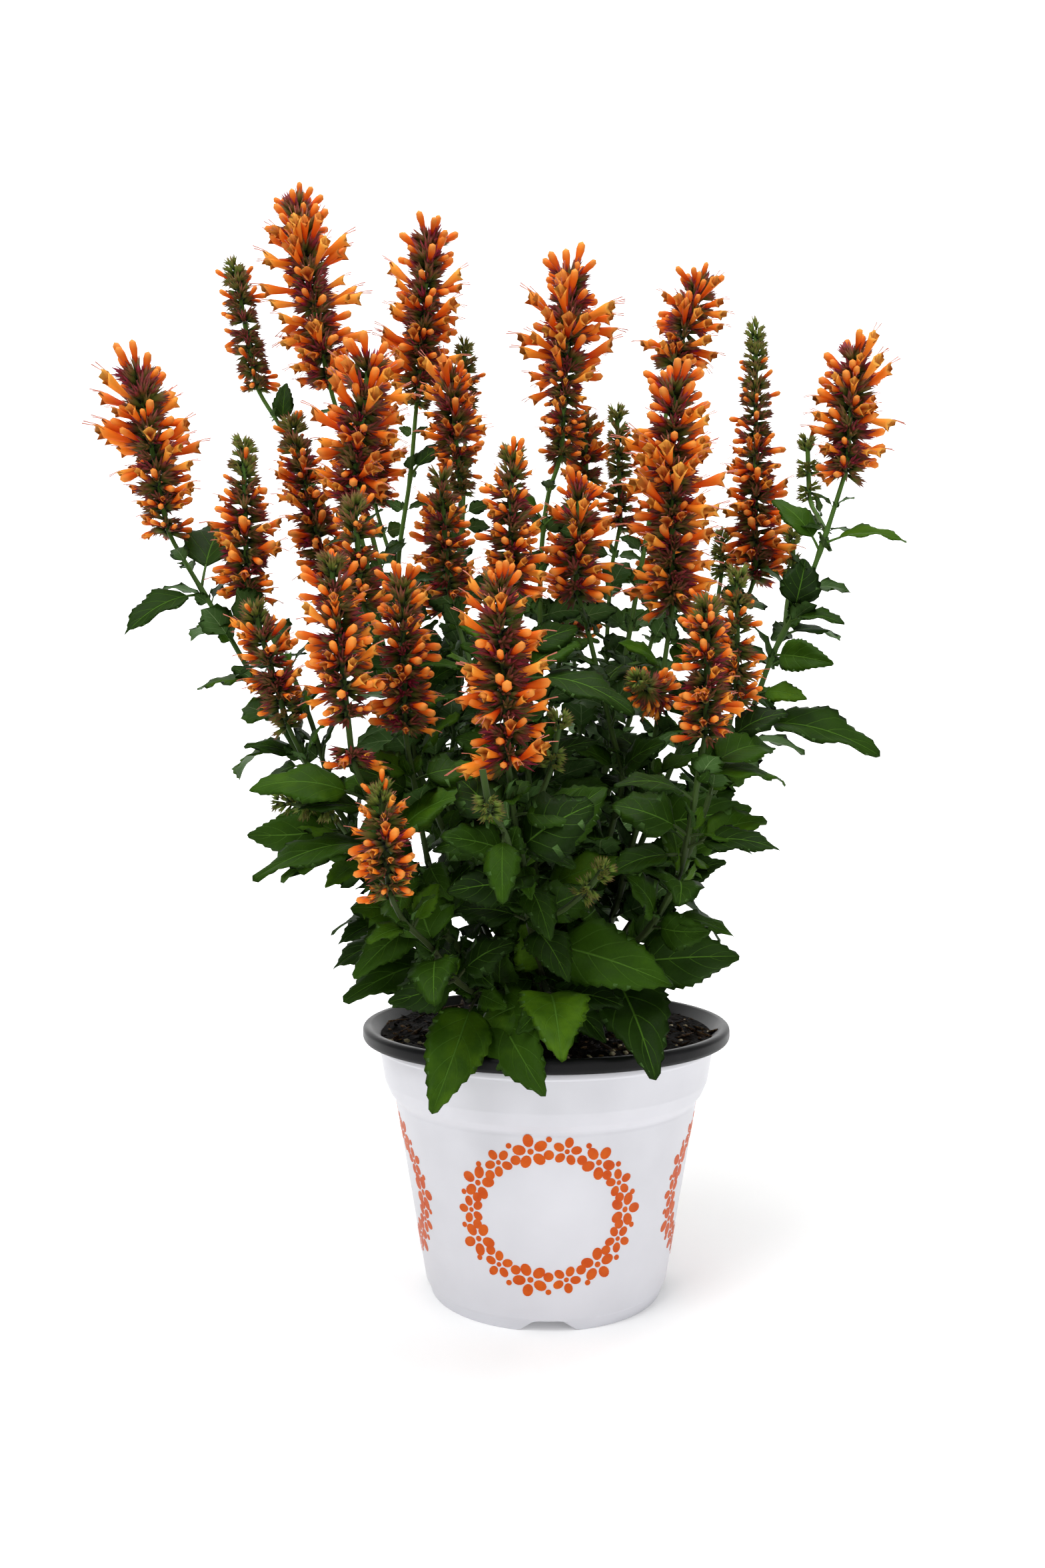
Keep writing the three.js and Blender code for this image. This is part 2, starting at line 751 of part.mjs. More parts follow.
// Tries a leaf's positions in turn and keeps the first that is clear. Where none is, the leaf isn't grown.
function settle(shapes) {
  const shape = shapes.find(isClear);
  if (shape) {
    probesOf(shape).forEach((probe) => obstacles.push({ point: probe, room: LEAF_ROOM }));
  }
  return shape;
}

// A leaf that is set by its tip bends clear along the line of sight.
const SLIDES = [0, -8, 8, -16, 16, -24, 24, -34, 34, -44, 44];

function settleByTip({ from, tip, seen }, track) {
  const mark = track.reach(from);
  const base = track.at(mark);
  const [across, height, depth] = tip;
  const shapes = SLIDES.map((slide) => {
    const end = place([across, height, depth + slide]);
    const breadth = Math.max(seen * spreadAt(depth), base.distanceTo(end) * (1 - PETIOLE) * BLADE_BREADTH);
    return shapeLeaf(base, end, Math.asin(Math.min(seen / breadth, 1)), breadth);
  });
  return { mark, shape: settle(shapes) };
}

// A leaf that is set by its heading bends clear to the side and up or down.
const TURNS = [0, 18, -18, 36, -36, 54, -54];
const LIFTS = [24, 44, 4, 62];
const PAIR_FACING = [0.4, 1.2];
const PAIR_SIZE = [0.9, 1.1];
const PAIR_BREADTH = 0.55;

function settleByHeading(from, heading, length, seed, track) {
  const mark = track.reach(from);
  const base = track.at(mark);
  const facing = THREE.MathUtils.lerp(...PAIR_FACING, scatter(seed));
  const grown = length * THREE.MathUtils.lerp(...PAIR_SIZE, scatter(seed + 0.5));
  const shapes = LIFTS.flatMap((lift) => TURNS.map((turn) => {
    const compass = THREE.MathUtils.degToRad(heading + turn);
    const climb = THREE.MathUtils.degToRad(lift);
    const end = base.clone().add(new THREE.Vector3(
      grown * Math.cos(compass) * Math.cos(climb),
      grown * Math.sin(compass) * Math.cos(climb),
      grown * Math.sin(climb),
    ));
    return shapeLeaf(base, end, facing, grown * (1 - PETIOLE) * PAIR_BREADTH);
  }));
  return { mark, shape: settle(shapes) };
}

function settleTips(shoot) {
  shoot.grown = (shoot.leaves ?? [])
    .map((spec) => settleByTip(spec, shoot.track))
    .filter(({ shape }) => shape);
}

function settlePairs(shoot) {
  (shoot.pairs ?? []).forEach(({ from, heading, length }) => {
    [0, 180].forEach((half) => {
      const seed = from + heading + half;
      const grown = settleByHeading(from, heading + half, length, seed, shoot.track);
      if (grown.shape) {
        shoot.grown.push(grown);
      }
    });
  });
}

// Grows a leaf out of an open side of its shoot: the petiole, then the blade, tooth by tooth.
function growLeaf(body, port, shape) {
  const teeth = shape.length > SMALL_LEAF ? TEETH_LARGE : TEETH_SMALL;
  let section = body.ring(crossLeaf(shape, 0));
  body.join(port, section);
  const [tip] = body.ring([shape.tip]);
  for (let tooth = 0; tooth < teeth; tooth += 1) {
    const isLast = tooth === teeth - 1;
    const points = crossLeaf(shape, (tooth + TOOTH_LEAN) / teeth);
    const [right, left] = body.ring([points[0], points[2]]);
    const next = isLast
      ? [tip, tip, tip, tip]
      : body.ring(crossLeaf(shape, (tooth + 1) / teeth, NOTCH_DEPTH));
    [[0, 1, right], [0, 3, right], [2, 3, left], [2, 1, left]].forEach(([edge, rib, point], quarter) => {
      const fan = [
        [point, section[edge], section[rib]],
        [point, section[rib], next[rib]],
        [point, next[rib], next[edge]],
      ];
      fan.slice(0, isLast ? 2 : 3).forEach((triangle) => {
        body.face(...(quarter % 2 ? triangle.reverse() : triangle));
      });
    });
    section = next;
  }
}

function squareRing(center, direction, radius) {
  const { right, back } = frameOf(direction);
  return [-45, 45, 135, 225].map((angle) => {
    const turn = THREE.MathUtils.degToRad(angle);
    return center.clone()
      .addScaledVector(right, radius * Math.cos(turn))
      .addScaledVector(back, radius * Math.sin(turn));
  });
}

// The side of a square shoot that looks most nearly along a heading: right, back, left or front.
function sideFacing(direction, heading, taken) {
  const { right, back } = frameOf(direction);
  const looks = [right, back, right.clone().negate(), back.clone().negate()];
  const order = [0, 1, 2, 3].filter((side) => !taken.includes(side));
  order.sort((a, b) => looks[b].dot(heading) - looks[a].dot(heading));
  return order[0];
}

// Gathers a shoot's leaves and branches into nodes: those at one height share a band of the shoot.
function nodesOf(shoot) {
  const { track } = shoot;
  const sprouts = [
    ...shoot.grown.map(({ mark, shape }) => ({ mark, shape, heading: shape.heading })),
    ...(shoot.branches ?? []).map((branch) => ({
      mark: track.reach(branch.from),
      branch,
      heading: branch.track.slope(1),
    })),
  ];
  sprouts.sort((a, b) => a.mark - b.mark);
  const nodes = [];
  sprouts.forEach((sprout) => {
    let node = nodes.at(-1);
    if (!node || sprout.mark - node.mark > SHARED_NODE || node.sprouts.length === STEM_SIDES) {
      const lowest = node ? node.mark + NODE_PITCH : NODE_HEIGHT;
      const highest = track.length - NODE_HEIGHT;
      node = { mark: Math.min(Math.max(sprout.mark, lowest), highest), sprouts: [] };
      nodes.push(node);
    }
    const taken = node.sprouts.map(({ side }) => side);
    const side = sideFacing(track.direction(node.mark), sprout.heading, taken);
    node.sprouts.push({ ...sprout, side });
  });
  return nodes;
}

// Grows a shoot from a port on its parent, or from the soil, to its top, with a band for each node.
function growShoot(body, port, shoot) {
  const { track } = shoot;
  const end = track.length;
  const radius = (mark) => along(shoot.radii, mark / end);
  const ringAt = (mark, direction = track.direction(mark)) => (
    body.ring(squareRing(track.at(mark), direction, radius(mark)))
  );
  const nodes = nodesOf(shoot);
  const bends = track.marks.slice(1, -1)
    .filter((mark) => nodes.every((node) => Math.abs(node.mark - mark) > BEND_CLEARANCE))
    .map((mark) => ({ mark }));
  let lower = port;
  const climb = (ring) => {
    if (!lower) {
      body.face(...[...ring].reverse());
    } else if (lower === port) {
      body.join(port, ring);
    } else {
      body.band(lower, ring);
    }
    lower = ring;
  };
  if (!port) {
    climb(ringAt(0));
  }
  [...nodes, ...bends].sort((a, b) => a.mark - b.mark).forEach(({ mark, sprouts }) => {
    if (!sprouts) {
      climb(ringAt(mark));
      return;
    }
    const start = ringAt(mark - NODE_HEIGHT / 2);
    const finish = ringAt(mark + NODE_HEIGHT / 2);
    climb(start);
    body.band(start, finish, sprouts.map(({ side }) => side));
    sprouts.forEach(({ side, shape, branch }) => {
      const next = (side + 1) % start.length;
      const opening = [start[side], start[next], finish[next], finish[side]];
      if (shape) {
        growLeaf(body, opening, shape);
      } else {
        growShoot(body, opening, branch);
      }
    });
    lower = finish;
  });
  climb(ringAt(end, shoot.top));
  body.face(...lower);
}

// Grows a bud or an open floret out of one face of the spike's core.
function growFloret(body, root, axis, reach, tilt, seed) {
  const [low, high, peak] = root.map((corner) => body.corners[corner]);
  const center = low.clone().add(high).add(peak).divideScalar(root.length);
  const rise = center.clone().sub(axis.base).dot(axis.direction);
  const spine = axis.base.clone().addScaledVector(axis.direction, rise);
  const radial = center.clone().sub(spine);
  const span = Math.max((reach - radial.length()) / Math.cos(tilt), SHORTEST_FLORET);
  const out = radial.normalize()
    .multiplyScalar(Math.cos(tilt))
    .addScaledVector(axis.direction, Math.sin(tilt));
  const mouth = center.addScaledVector(out, span * (1 - FLORET_VARIATION * scatter(seed)));
  if (reach < BUD_LIMIT * axis.spread) {
    const [point] = body.ring([mouth]);
    root.forEach((corner, index) => body.face(corner, root[(index + 1) % root.length], point));
    return;
  }
  const across = high.clone().sub(low).normalize();
  const above = out.clone().cross(across).normalize();
  const lips = root.map((corner, index) => {
    const turn = (2 * Math.PI * index) / root.length + LIP_TURN;
    return mouth.clone()
      .addScaledVector(across, MOUTH_RADIUS * Math.cos(turn))
      .addScaledVector(above, MOUTH_RADIUS * Math.sin(turn));
  });
  const ring = body.ring(lips);
  body.band(root, ring);
  body.face(...ring);
}

// A flower spike: a slim core of calyx tiers, and a whorl of florets or buds out of each tier.
function spikeGeometry(name, order) {
  const { reach } = SPIKES[name];
  const axis = spikeAxis(name);
  const body = new Body();
  const { right, back } = frameOf(axis.direction);
  const whorls = Math.max(Math.round(axis.length / WHORL_PITCH), FEWEST_WHORLS);
  const pitch = axis.length / whorls;
  const bare = STALK_RADIUS + SEAT_GAP;
  const ringAt = (mark, radius, phase) => body.ring(Array.from({ length: SPIKE_SIDES }, (_, side) => {
    const turn = (2 * Math.PI * (side + phase)) / SPIKE_SIDES;
    return axis.base.clone()
      .addScaledVector(axis.direction, mark)
      .addScaledVector(right, radius * Math.cos(turn))
      .addScaledVector(back, radius * Math.sin(turn));
  }));
  let lower = ringAt(0, bare, 0);
  body.face(...[...lower].reverse());
  for (let whorl = 0; whorl < whorls; whorl += 1) {
    const span = along(reach, whorl / (whorls - 1)) * axis.spread;
    const isBare = reach.includes(0) && span < BARE_LIMIT;
    const calyx = isBare ? bare : Math.min(CALYX_SHARE * span, CALYX_RADIUS);
    const phase = 2 * whorl * TIER_TURN;
    const shoulder = ringAt((whorl + SHOULDER_PLACE) * pitch, calyx, phase + TIER_TURN);
    const waist = ringAt(
      (whorl + WAIST_PLACE) * pitch,
      isBare ? bare : WAIST_SHARE * calyx,
      phase + 2 * TIER_TURN,
    );
    body.band(lower, shoulder);
    const tilt = THREE.MathUtils.lerp(FLORET_TILT_LOW, FLORET_TILT_HIGH, (whorl / whorls) ** TILT_RISE);
    shoulder.forEach((corner, side) => {
      const next = (side + 1) % SPIKE_SIDES;
      const root = [corner, shoulder[next], waist[next]];
      body.face(corner, waist[next], waist[side]);
      if (isBare) {
        body.face(...root);
      } else {
        const seed = SEEDS_PER_SPIKE * order + SPIKE_SIDES * whorl + side;
        const lean = TILT_VARIATION * (scatter(-seed) - 0.5);
        growFloret(body, root, axis, span, tilt + lean, seed);
      }
    });
    lower = waist;
  }
  const [peak] = body.ring([axis.tip]);
  lower.forEach((corner, side) => body.face(corner, lower[(side + 1) % SPIKE_SIDES], peak));
  return body.geometry();
}

// A solid turned about the pot's axis from its profile of [radius, height] points.
function turned(profile) {
  const points = profile.map(([radius, height]) => new THREE.Vector2(radius, height));
  return new THREE.LatheGeometry(points, POT_SIDES).rotateX(Math.PI / 2);
}

function toSolid(geometry) {
  const bare = geometry.clone();
  bare.deleteAttribute("normal");
  bare.deleteAttribute("uv");
  const merged = mergeVertices(bare, 1e-3);
  return new wasm.Manifold(new wasm.Mesh({
    numProp: 3,
    vertProperties: merged.attributes.position.array,
    triVerts: new Uint32Array(merged.index.array),
  }));
}

function cut(geometry, tools) {
  const solid = tools.reduce((rest, tool) => rest.subtract(toSolid(tool)), toSolid(geometry));
  const { vertProperties, triVerts } = solid.getMesh();
  const shape = new THREE.BufferGeometry();
  shape.setAttribute("position", new THREE.BufferAttribute(vertProperties, 3));
  shape.setIndex(new THREE.BufferAttribute(triVerts, 1));
  const faceted = shape.toNonIndexed();
  faceted.computeVertexNormals();
  return faceted;
}

function prism(radius, sides, height, x, y, z) {
  return new THREE.CylinderGeometry(radius, radius, height, sides)
    .rotateX(Math.PI / 2)
    .translate(x, y, z);
}

function drainHoles(top) {
  return Array.from({ length: NOTCHES }, (_, index) => {
    const turn = (2 * Math.PI * index) / NOTCHES;
    const [x, y] = [DRAIN_PLACE * Math.cos(turn), DRAIN_PLACE * Math.sin(turn)];
    return prism(DRAIN_RADIUS, DRAIN_SIDES, 2 * top, x, y, 0);
  });
}

// The white outer pot: bellied collar on a small shoulder, tapered body, foot ring with drain notches and a central pad.
function coverPot() {
  const wall = COVER_WALL;
  const floor = FLOOR_HEIGHT;
  const shelf = SHOULDER_HEIGHT + SHOULDER_RISE;
  const belly = SHOULDER_HEIGHT + BELLY_RISE;
  const pot = turned([
    [0, 0],
    [PAD_RADIUS, 0],
    [PAD_RADIUS + PAD_TAPER, floor],
    [FOOT_RADIUS - FOOT_RING, floor],
    [FOOT_RADIUS - FOOT_RING, 0],
    [FOOT_RADIUS - FOOT_TAPER, 0],
    [FOOT_RADIUS - SEAM_STEP, SEAM_HEIGHT - SEAM_STEP],
    [FOOT_RADIUS, SEAM_HEIGHT],
    [BODY_RADIUS, SHOULDER_HEIGHT],
    [BODY_RADIUS + SHOULDER_STEP, shelf],
    [BELLY_RADIUS, belly],
    [COLLAR_RADIUS, COLLAR_TOP],
    [COLLAR_RADIUS - wall, COLLAR_TOP],
    [BELLY_RADIUS - wall, belly],
    [BODY_RADIUS + SHOULDER_STEP - wall, shelf],
    [BODY_RADIUS - wall, SHOULDER_HEIGHT],
    [FOOT_RADIUS - wall, floor + wall],
    [0, floor + wall],
  ]);
  // Each notch is cut by a wedge that widens downward and reaches from below the foot to the notch's flat top.
  const arch = new THREE.Shape([
    new THREE.Vector2(NOTCH_TOP / 2 - NOTCH_WIDTH, -NOTCH_HEIGHT),
    new THREE.Vector2(NOTCH_WIDTH - NOTCH_TOP / 2, -NOTCH_HEIGHT),
    new THREE.Vector2(NOTCH_TOP / 2, NOTCH_HEIGHT),
    new THREE.Vector2(-NOTCH_TOP / 2, NOTCH_HEIGHT),
  ]);
  const notches = Array.from({ length: NOTCHES }, (_, index) => (
    new THREE.ExtrudeGeometry(arch, { depth: 2 * FOOT_RING, bevelEnabled: false })
      .rotateX(Math.PI / 2)
      .translate(0, FOOT_RING / 2 - (FOOT_RADIUS - FOOT_RING), 0)
      .rotateZ((2 * Math.PI * index) / NOTCHES)
  ));
  return cut(pot, [...notches, ...drainHoles(floor + 2 * wall)]);
}

// The black grow pot: it stands in the outer pot, opens outward above the collar, and its rolled rim hangs
// over the collar's edge.
function growPot() {
  const wall = GROW_WALL;
  const gap = COVER_WALL + NEST_GAP;
  const floor = FLOOR_HEIGHT + COVER_WALL + SEAT_GAP;
  const lip = RIM_RADIUS - RIM_WALL;
  const under = RIM_TOP - RIM_ROLL - RIM_WALL;
  const hem = RIM_TOP - RIM_DROP;
  const pot = turned([
    [0, floor],
    [FOOT_RADIUS - gap, floor],
    [BODY_RADIUS - gap, SHOULDER_HEIGHT],
    [COLLAR_RADIUS - gap, COLLAR_TOP + NEST_GAP],
    [lip, under],
    [lip, hem],
    [RIM_RADIUS - RIM_WALL / 2, hem],
    [RIM_RADIUS, hem + RIM_WALL],
    [RIM_RADIUS, RIM_TOP - RIM_ROLL],
    [RIM_RADIUS - RIM_ROLL, RIM_TOP],
    [RIM_RADIUS - RIM_BREADTH, RIM_TOP],
    [COLLAR_RADIUS - gap - wall, COLLAR_TOP + LIP_RISE],
    [BODY_RADIUS - gap - wall, SHOULDER_HEIGHT],
    [FOOT_RADIUS - gap - wall, floor + wall],
    [0, floor + wall],
  ]);
  return cut(pot, drainHoles(floor + 2 * wall));
}

// The soil: it fills the grow pot up to just below the rim, with a plain hole for each stem.
function soilPlug() {
  const gap = COVER_WALL + NEST_GAP + GROW_WALL + SOIL_GAP;
  const floor = FLOOR_HEIGHT + COVER_WALL + GROW_WALL + 2 * SEAT_GAP;
  const brim = SOIL_TOP - SOIL_EDGE_DROP;
  const bend = COLLAR_TOP + LIP_RISE;
  const rise = (brim - bend) / (RIM_TOP - bend);
  const edge = THREE.MathUtils.lerp(COLLAR_RADIUS - gap, RIM_RADIUS - RIM_BREADTH, rise) - SOIL_GAP;
  const plug = turned([
    [0, floor],
    [FOOT_RADIUS - gap, floor],
    [BODY_RADIUS - gap, SHOULDER_HEIGHT],
    [COLLAR_RADIUS - gap, bend],
    [edge, brim],
    [RELIEF_SHARE * edge, SOIL_TOP],
    [FLAT_SHARE * edge, SOIL_TOP],
    [0, SOIL_TOP],
  ]);
  const wave = (2 * Math.PI) / RELIEF_PITCH;
  const corners = plug.attributes.position;
  for (let i = 0; i < corners.count; i += 1) {
    const [x, y, z] = [corners.getX(i), corners.getY(i), corners.getZ(i)];
    if (z > brim + SEAT_GAP && Math.hypot(x, y) > FLAT_SHARE * edge + 1) {
      corners.setZ(i, z + SOIL_RELIEF * Math.sin(wave * x + 1) * Math.cos(wave * y));
    }
  }
  const holes = Object.values(STEMS).map(({ foot: [x, y] }) => (
    prism(HOLE_RADIUS, HOLE_SIDES, 2 * HOLE_DEPTH, x, y, SOIL_TOP)
  ));
  return cut(plug, holes);
}

const leafGreen = { color: 0x2a5e1a, roughness: 0.55, metalness: 0 };
const spikeOrange = { color: 0xe8822a, roughness: 0.6, metalness: 0 };
const coverWhite = { color: 0xdcdde2, roughness: 0.38, metalness: 0 };
const growBlack = { color: 0x2b2b2e, roughness: 0.45, metalness: 0 };
const soilBrown = { color: 0x2a211b, roughness: 0.95, metalness: 0 };

function addPiece(group, name, geometry, look) {
  const mesh = new THREE.Mesh(geometry, new THREE.MeshStandardMaterial(look));
  mesh.name = name;
  group.add(mesh);
}

const stems = Object.values(STEMS);
const shoots = stems.flatMap(shootsOf);
stems.forEach((stem) => layOut(stem));
setObstacles();
shoots.forEach(settleTips);
shoots.forEach(settlePairs);

const hyssop = new THREE.Group();
addPiece(hyssop, "cover_pot", coverPot(), coverWhite);
addPiece(hyssop, "grow_pot", growPot(), growBlack);
addPiece(hyssop, "soil", soilPlug(), soilBrown);
Object.entries(STEMS).forEach(([name, stem]) => {
  const body = new Body();
  growShoot(body, null, stem);
  addPiece(hyssop, name, body.geometry(), leafGreen);
});
Object.keys(SPIKES).forEach((name, order) => {
  addPiece(hyssop, name, spikeGeometry(name, order), spikeOrange);
});

export default hyssop;
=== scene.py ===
import json
import math
import random
from functools import partial

import bpy
import numpy as np
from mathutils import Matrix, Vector
from mathutils.geometry import intersect_point_line

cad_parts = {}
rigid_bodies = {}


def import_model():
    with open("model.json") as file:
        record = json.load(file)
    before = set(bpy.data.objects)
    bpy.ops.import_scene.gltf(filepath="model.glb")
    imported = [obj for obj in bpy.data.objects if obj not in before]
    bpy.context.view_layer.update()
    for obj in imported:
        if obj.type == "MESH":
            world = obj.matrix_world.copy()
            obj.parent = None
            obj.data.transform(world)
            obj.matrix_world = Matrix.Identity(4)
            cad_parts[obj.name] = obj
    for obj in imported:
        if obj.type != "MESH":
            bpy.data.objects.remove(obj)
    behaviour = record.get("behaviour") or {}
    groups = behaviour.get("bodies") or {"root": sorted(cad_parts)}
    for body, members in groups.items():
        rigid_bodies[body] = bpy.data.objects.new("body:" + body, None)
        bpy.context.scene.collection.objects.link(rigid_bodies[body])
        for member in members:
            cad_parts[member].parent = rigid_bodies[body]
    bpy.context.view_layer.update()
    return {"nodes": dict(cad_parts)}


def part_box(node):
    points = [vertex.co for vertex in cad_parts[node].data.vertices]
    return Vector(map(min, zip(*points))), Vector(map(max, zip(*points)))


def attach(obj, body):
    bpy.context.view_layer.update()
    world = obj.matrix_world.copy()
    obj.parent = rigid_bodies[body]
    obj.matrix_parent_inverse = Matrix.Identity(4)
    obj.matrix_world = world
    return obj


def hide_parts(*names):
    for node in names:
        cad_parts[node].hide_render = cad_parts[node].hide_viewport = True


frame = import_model()
mm = 0.001
up = Vector((0, 0, 1))
front = Vector((0, -1, 0))
fullTurn = 2 * math.pi


def linear(code):  # an sRGB hex colour as Blender's linear one
    parts = [int(code[i:i + 2], 16) / 255 for i in (1, 3, 5)]
    return [*(p / 12.92 if p <= 0.04045 else ((p + 0.055) / 1.055) ** 2.4 for p in parts), 1.0]


def feed(tree, value, socket):  # a plain value, a socket to link, or a node, meant by its first output
    if isinstance(value, bpy.types.Node):
        value = value.outputs[0]
    if isinstance(value, bpy.types.NodeSocket):
        tree.links.new(value, socket)
    else:
        socket.default_value = value


def addNode(tree, kind, inputs=None, ramp=None, **settings):  # a node with its settings, values and links
    node = tree.nodes.new(kind)
    for name, value in settings.items():
        setattr(node, name, value)
    for name, value in (inputs or {}).items():
        feed(tree, value, node.inputs[name])
    for index, (place, code) in enumerate(ramp or []):
        stops = node.color_ramp.elements
        stop = stops[index] if index < 2 else stops.new(place)
        stop.position = place
        stop.color = linear(code)
    return node


def shade(material, **values):  # sets or links sockets of a material's shader
    tree = material.node_tree
    for name, value in values.items():
        feed(tree, value, tree.nodes["Principled BSDF"].inputs[name.replace("_", " ")])


def newMaterial(name, **values):
    material = bpy.data.materials.new(name)
    material.use_nodes = True
    shade(material, Metallic=0.0, **values)
    return material, partial(addNode, material.node_tree)


def newTree(name, sockets):  # a geometry tree with named inputs
    tree = bpy.data.node_groups.new(name, "GeometryNodeTree")
    tree.interface.new_socket("Geometry", in_out="INPUT", socket_type="NodeSocketGeometry")
    for label, kind in sockets.items():
        tree.interface.new_socket(label, in_out="INPUT", socket_type="NodeSocket" + kind)
    tree.interface.new_socket("Geometry", in_out="OUTPUT", socket_type="NodeSocketGeometry")
    return tree, partial(addNode, tree), tree.nodes.new("NodeGroupInput").outputs


def endTree(tree, last):
    feed(tree, last, tree.nodes.new("NodeGroupOutput").inputs[0])
    return tree


def endJoined(tree, add, parts):  # ends a tree with several geometries in one
    joined = add("GeometryNodeJoinGeometry")
    for part in parts:
        feed(tree, part, joined.inputs[0])
    return endTree(tree, joined)


def drawn(add, seed, ranges, step, first=0.0):  # a random value per point for each range
    draws = []
    for number, (low, high) in enumerate(ranges):
        shifted = add("ShaderNodeMath", {0: seed, 1: first + step * number}, operation="ADD")
        draws.append(add("FunctionNodeRandomValue", {2: low, 3: high, "Seed": shifted}).outputs[1])
    return draws


def numbered(add, points, name):  # points that keep their number when they are multiplied
    return add(
        "GeometryNodeStoreNamedAttribute",
        {"Geometry": points, "Name": name, "Value": add("GeometryNodeInputIndex")},
        data_type="INT", domain="POINT",
    )


def raised(add, radial, tangent, angle):  # turns a way that leaves a shoot squarely up along the shoot
    hinge = add("ShaderNodeVectorMath", {0: radial, 1: tangent}, operation="CROSS_PRODUCT")
    return add("ShaderNodeVectorRotate", {"Vector": radial, "Axis": hinge, "Angle": angle})


def planted(add, tint, inputs):  # shapes set on points, each with its own tint, as real geometry
    shapes = add("GeometryNodeInstanceOnPoints", inputs)
    tinted = add(
        "GeometryNodeStoreNamedAttribute", {"Geometry": shapes, "Name": "tint", "Value": tint},
        data_type="FLOAT", domain="INSTANCE",
    )
    return add("GeometryNodeRealizeInstances", {0: tinted})


def keepMesh(piece, modifier):  # what the modifier makes of a piece becomes its plain mesh
    bpy.context.view_layer.update()
    depsgraph = bpy.context.evaluated_depsgraph_get()
    piece.data = bpy.data.meshes.new_from_object(piece.evaluated_get(depsgraph), depsgraph=depsgraph)
    piece.data.name = piece.name
    piece.modifiers.remove(modifier)


def runTree(piece, tree, values):
    modifier = piece.modifiers.new(tree.name, "NODES")
    modifier.node_group = tree
    for item in tree.interface.items_tree:
        if item.in_out == "INPUT" and item.name in values:
            modifier[item.identifier] = values[item.name]
    keepMesh(piece, modifier)


def polar(radius, angle, height=0.0):  # a point round the upright axis
    return Vector((radius * math.cos(angle), radius * math.sin(angle), height))


def newObject(name, mesh, linked=True):
    piece = bpy.data.objects.new(name, mesh)
    if linked:
        bpy.context.scene.collection.objects.link(piece)
    return piece


def guideLine(name, points, edges, values):  # a bare line in metres, whose points carry values for a tree
    mesh = bpy.data.meshes.new(name + "Guide")
    mesh.from_pydata([point * mm for point in points], edges, [])
    for label, row in values.items():
        mesh.attributes.new(label, "FLOAT", "POINT").data.foreach_set("value", row)
    return newObject(name, mesh)


valueNames = ("along", "across", "under", "tint")
shapeValues = valueNames[:3]  # a shape that is repeated gets its tint where it is placed


class Build:  # points, faces and per-point values of one piece, in millimetres
    def __init__(self):
        self.points = []
        self.faces = []
        self.slots = []
        self.values = []

    def add(self, point, along=0.0, across=0.0, under=0.0, tint=0.5):
        self.points.append(point)
        self.values.append((along, across, under, tint))
        return len(self.points) - 1

    def face(self, *corners, slot=0):
        self.faces.append(corners)
        self.slots.append(slot)

    def band(self, lower, upper, slot=0):  # a closed loop of faces between two rings
        for i in range(len(lower)):
            j = (i + 1) % len(lower)
            self.face(lower[i], lower[j], upper[j], upper[i], slot=slot)

    def fan(self, ring, point, slot=0):  # closes a ring to a point
        for i in range(len(ring)):
            self.face(ring[i], ring[(i + 1) % len(ring)], point, slot=slot)

    def tube(self, rings, slot=0):  # bands between rings, the first from below, with flat ends
        for lower, upper in zip(rings, rings[1:]):
            self.band(lower, upper, slot=slot)
        self.face(*rings[0][::-1], slot=slot)
        self.face(*rings[-1], slot=slot)

    def cup(self, rings, point, **values):  # bands between rings, flat below and drawn to a point above
        for lower, upper in zip(rings, rings[1:]):
            self.band(lower, upper)
        self.face(*rings[0][::-1])
        self.fan(rings[-1], self.add(point, **values))

    def finish(self, name, materials, linked=True, labels=valueNames):
        mesh = bpy.data.meshes.new(name)
        mesh.from_pydata([tuple(p * mm for p in point) for point in self.points], [], self.faces)
        for material in materials:
            mesh.materials.append(material)
        mesh.polygons.foreach_set("material_index", self.slots)
        mesh.polygons.foreach_set("use_smooth", [True] * len(self.faces))
        for index, label in enumerate(labels):
            attribute = mesh.attributes.new(label, "FLOAT", "POINT")
            attribute.data.foreach_set("value", [row[index] for row in self.values])
        return newObject(name, mesh, linked)


def keepPiece(piece, slot=None, *nodes):  # the piece rides on the one body and stands for its CAD nodes
    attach(piece, "root")
    if nodes:
        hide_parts(*nodes)


# Camera: level, at the height of the lower heads, where the photograph was taken from
view = {"across": -13.1, "height": 279.6, "distance": 700.0, "lens": 28.6, "sensor": 36.0}

camera = bpy.data.cameras.new("studioCamera")
camera.lens = view["lens"]
camera.sensor_width = view["sensor"]
cameraObject = newObject("studioCamera", camera)
cameraObject.location = (view["across"] * mm, -view["distance"] * mm, view["height"] * mm)
cameraObject.rotation_euler = (math.radians(90), 0, 0)
bpy.context.scene.camera = cameraObject
print("camera set")


# Leaves: a petiole, then a toothed blade, folded along its midrib and arched. Shares are of its length.
leafForm = {
    "petiole": 0.2, "petioleRadius": 0.7, "stalkShares": (0, 0.06, 0.12, 0.18, 0.22),
    "stalkTaper": (1.35, 1.6), "arch": 0.13, "belly": 0.62, "blunt": 0.85, "fuller": 1.22, "fold": 16,
    "droop": 0.2, "thickness": 0.4,
    "toothOut": 1.02, "toothIn": 0.95, "lean": 0.4, "sway": 0.06, "ruffle": 0.05, "ruffleTurns": 2.3,
    "ruffleRise": 5, "puff": 0.45, "puffRise": 6, "veins": 5, "veinSlope": 0.36, "stalkSides": 5,
    "broadShare": 0.5, "pairBroadShare": 0.55, "largeLength": 40, "teeth": (7, 11), "columns": (3, 4),
}


